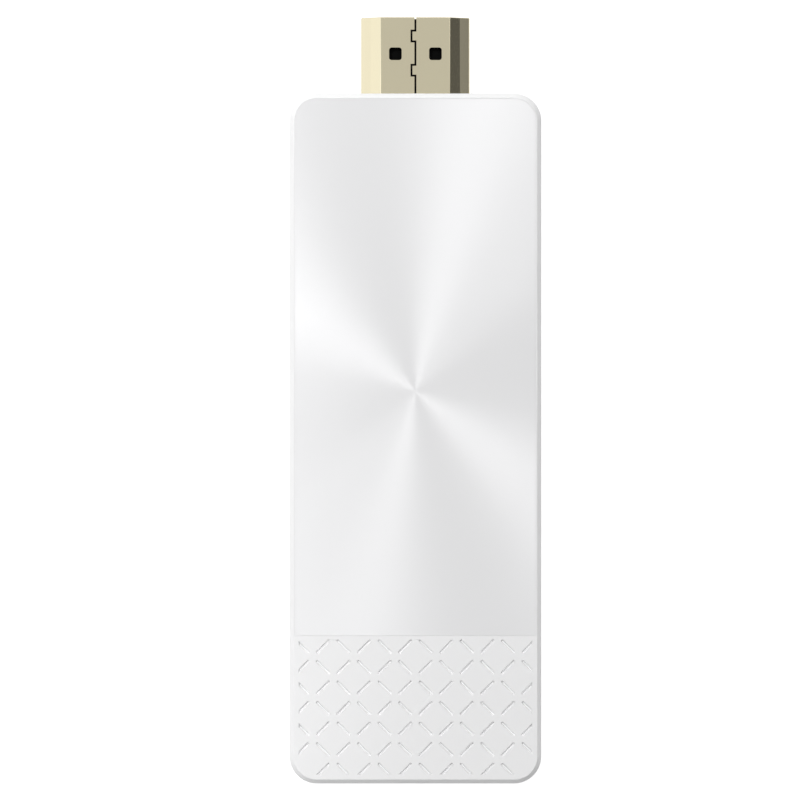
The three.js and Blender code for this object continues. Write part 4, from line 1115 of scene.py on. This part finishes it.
def dress_cad_nodes():
    """The nodes of the frame that no new piece stands for get their finishes."""
    for material, names in FINISHED_NODES:
        for name in names:
            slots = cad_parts[name].data.materials
            slots.clear()
            slots.append(material)


# ------------------------------------------------------------------ studio

ROOM_BRIGHT_SIDE = math.radians(143)
ROOM_LOW = 0.3
ROOM_HIGH = 0.64
ROOM_OVERHEAD = 0.63
ROOM_GAIN = 0.86
ROOM_LOSS = 0.74
ROOM_DARKEST = 0.11
ROOM_BRIGHTEST = 1.1
ROOM_SKIRTING = -0.02
ROOM_SOFT_LOSS = 0.605
ROOM_UNDERNEATH = 1.0
VIEW_DISTANCE = 0.84
FRAME_WIDTH = 101.75 * MM
SENSOR = 36.0
AIM_ACROSS = -1.97 * MM
AIM_ALONG = (TAIL_Y + NOSE_Y) / 2 + 4.9 * MM
FLOOR_REACH = 12.0
STRIP_PLACE = Vector((-45 * MM, -12 * MM, FRONT_Z + 80 * MM))
STRIP_SPREAD = math.radians(68)


def camera():
    data = bpy.data.cameras.new("camera")
    data.sensor_width = SENSOR
    data.lens = SENSOR * VIEW_DISTANCE / FRAME_WIDTH
    data.clip_start = 0.05
    data.clip_end = 10
    made = bpy.data.objects.new("camera", data)
    made.location = (AIM_ACROSS, AIM_ALONG, FRONT_Z + VIEW_DISTANCE)
    bpy.context.scene.collection.objects.link(made)
    bpy.context.scene.camera = made


def floor():
    """A white table, lit from within so that the stick throws next to no shadow."""
    made = bpy.data.materials.new("white_table")
    made.use_nodes = True
    surface = made.node_tree.nodes["Principled BSDF"]
    surface.inputs["Base Color"].default_value = (0.4, 0.4, 0.4, 1)
    surface.inputs["Roughness"].default_value = 0.9
    surface.inputs["Emission Color"].default_value = (1, 1, 1, 1)
    surface.inputs["Emission Strength"].default_value = 0.86
    shape = bmesh.new()
    bmesh.ops.create_grid(shape, x_segments=1, y_segments=1, size=FLOOR_REACH)
    table = as_object("white_table", shape, made)
    table.visible_diffuse = False
    table.visible_glossy = False


def area_light(name, place, way, size, watts):
    """A rectangular soft light at a place, shining against the direction given."""
    data = bpy.data.lights.new(name, "AREA")
    data.shape = "RECTANGLE"
    data.size, data.size_y = size
    data.energy = watts
    made = bpy.data.objects.new(name, data)
    made.location = place
    made.rotation_euler = way.to_track_quat("Z", "Y").to_euler()
    made.visible_camera = False
    bpy.context.scene.collection.objects.link(made)
    return made


def panel_light(name, azimuth, elevation, distance, size, watts):
    """A soft panel aimed at the spun centre. Azimuth is anticlockwise from the stick's right."""
    a, e = math.radians(azimuth), math.radians(elevation)
    way = Vector((math.cos(a) * math.cos(e), math.sin(a) * math.cos(e), math.sin(e)))
    return area_light(name, SPUN_CENTRE + way * distance, way, size, watts)


def strip_light():
    """A long hooded strip over the stick's left side, whose light dies away across the face."""
    made = area_light("left_strip", STRIP_PLACE, Vector((0, 0, 1)), (0.03, 0.2), 0.0085)
    made.data.spread = STRIP_SPREAD


def key_light():
    """The main light, high over one corner: it models the edges and slots but is never mirrored."""
    made = panel_light("key", 134, 58, 0.8, (0.04, 0.04), 2.75)
    made.visible_glossy = False


def surroundings():
    """A white room: even overhead, bright low down on one side, dim opposite and white underneath.

    It counts for less in soft light than in reflections."""
    world = bpy.data.worlds.new("studio")
    bpy.context.scene.world = world
    world.use_nodes = True
    tree = world.node_tree
    way = wire(tree, "ShaderNodeTexCoord").outputs["Generated"]
    flat = along(tree, "NORMALIZE", along(tree, "MULTIPLY", way, (1, 1, 0)))
    bright_side = (math.cos(ROOM_BRIGHT_SIDE), math.sin(ROOM_BRIGHT_SIDE), 0)
    turn = along(tree, "DOT_PRODUCT", flat, bright_side, out=1)
    height = wire(tree, "ShaderNodeSeparateXYZ", {0: way}).outputs[2]
    low_down = wire(tree, "ShaderNodeMapRange",
                    {"Value": height, "From Min": ROOM_LOW, "From Max": ROOM_HIGH, "To Min": 1.0,
                     "To Max": 0.0}).outputs[0]
    added = maths(tree, "MULTIPLY", maths(tree, "MAXIMUM", turn, 0.0), ROOM_GAIN)
    taken = maths(tree, "MULTIPLY", maths(tree, "MINIMUM", turn, 0.0), ROOM_LOSS)
    swing = maths(tree, "MULTIPLY", low_down, maths(tree, "ADD", added, taken))
    above = maths(tree, "MINIMUM", maths(tree, "MAXIMUM", maths(tree, "ADD", swing, ROOM_OVERHEAD),
                                         ROOM_DARKEST), ROOM_BRIGHTEST)
    soft = wire(tree, "ShaderNodeLightPath").outputs["Is Diffuse Ray"]
    above = maths(tree, "MULTIPLY", above,
                  maths(tree, "SUBTRACT", 1.0, maths(tree, "MULTIPLY", soft, ROOM_SOFT_LOSS)))
    is_above = maths(tree, "GREATER_THAN", height, ROOM_SKIRTING)
    level = wire(tree, "ShaderNodeMix", {0: is_above, 2: ROOM_UNDERNEATH, 3: above}).outputs[0]
    tree.links.new(level, tree.nodes["Background"].inputs["Strength"])
    tree.nodes["Background"].inputs["Color"].default_value = (1, 1, 1, 1)


def studio():
    surroundings()
    panel_light("left_panel", 154, 42, 0.4, (0.11, 0.2), 0.11)
    panel_light("right_panel", -42, 57, 0.45, (0.1, 0.22), 0.18)
    strip_light()
    key_light()
    panel_light("top_panel", 79, 48, 0.5, (0.1, 0.25), 0.28)
    panel_light("top_fill", 57, 48, 0.5, (0.2, 0.25), 0.23)
    bpy.context.scene.view_settings.view_transform = "Standard"


# ------------------------------------------------------------------ the whole

camera()
studio()
floor()
housing()
video_plug()
power_socket()
small_mouldings()
dress_cad_nodes()
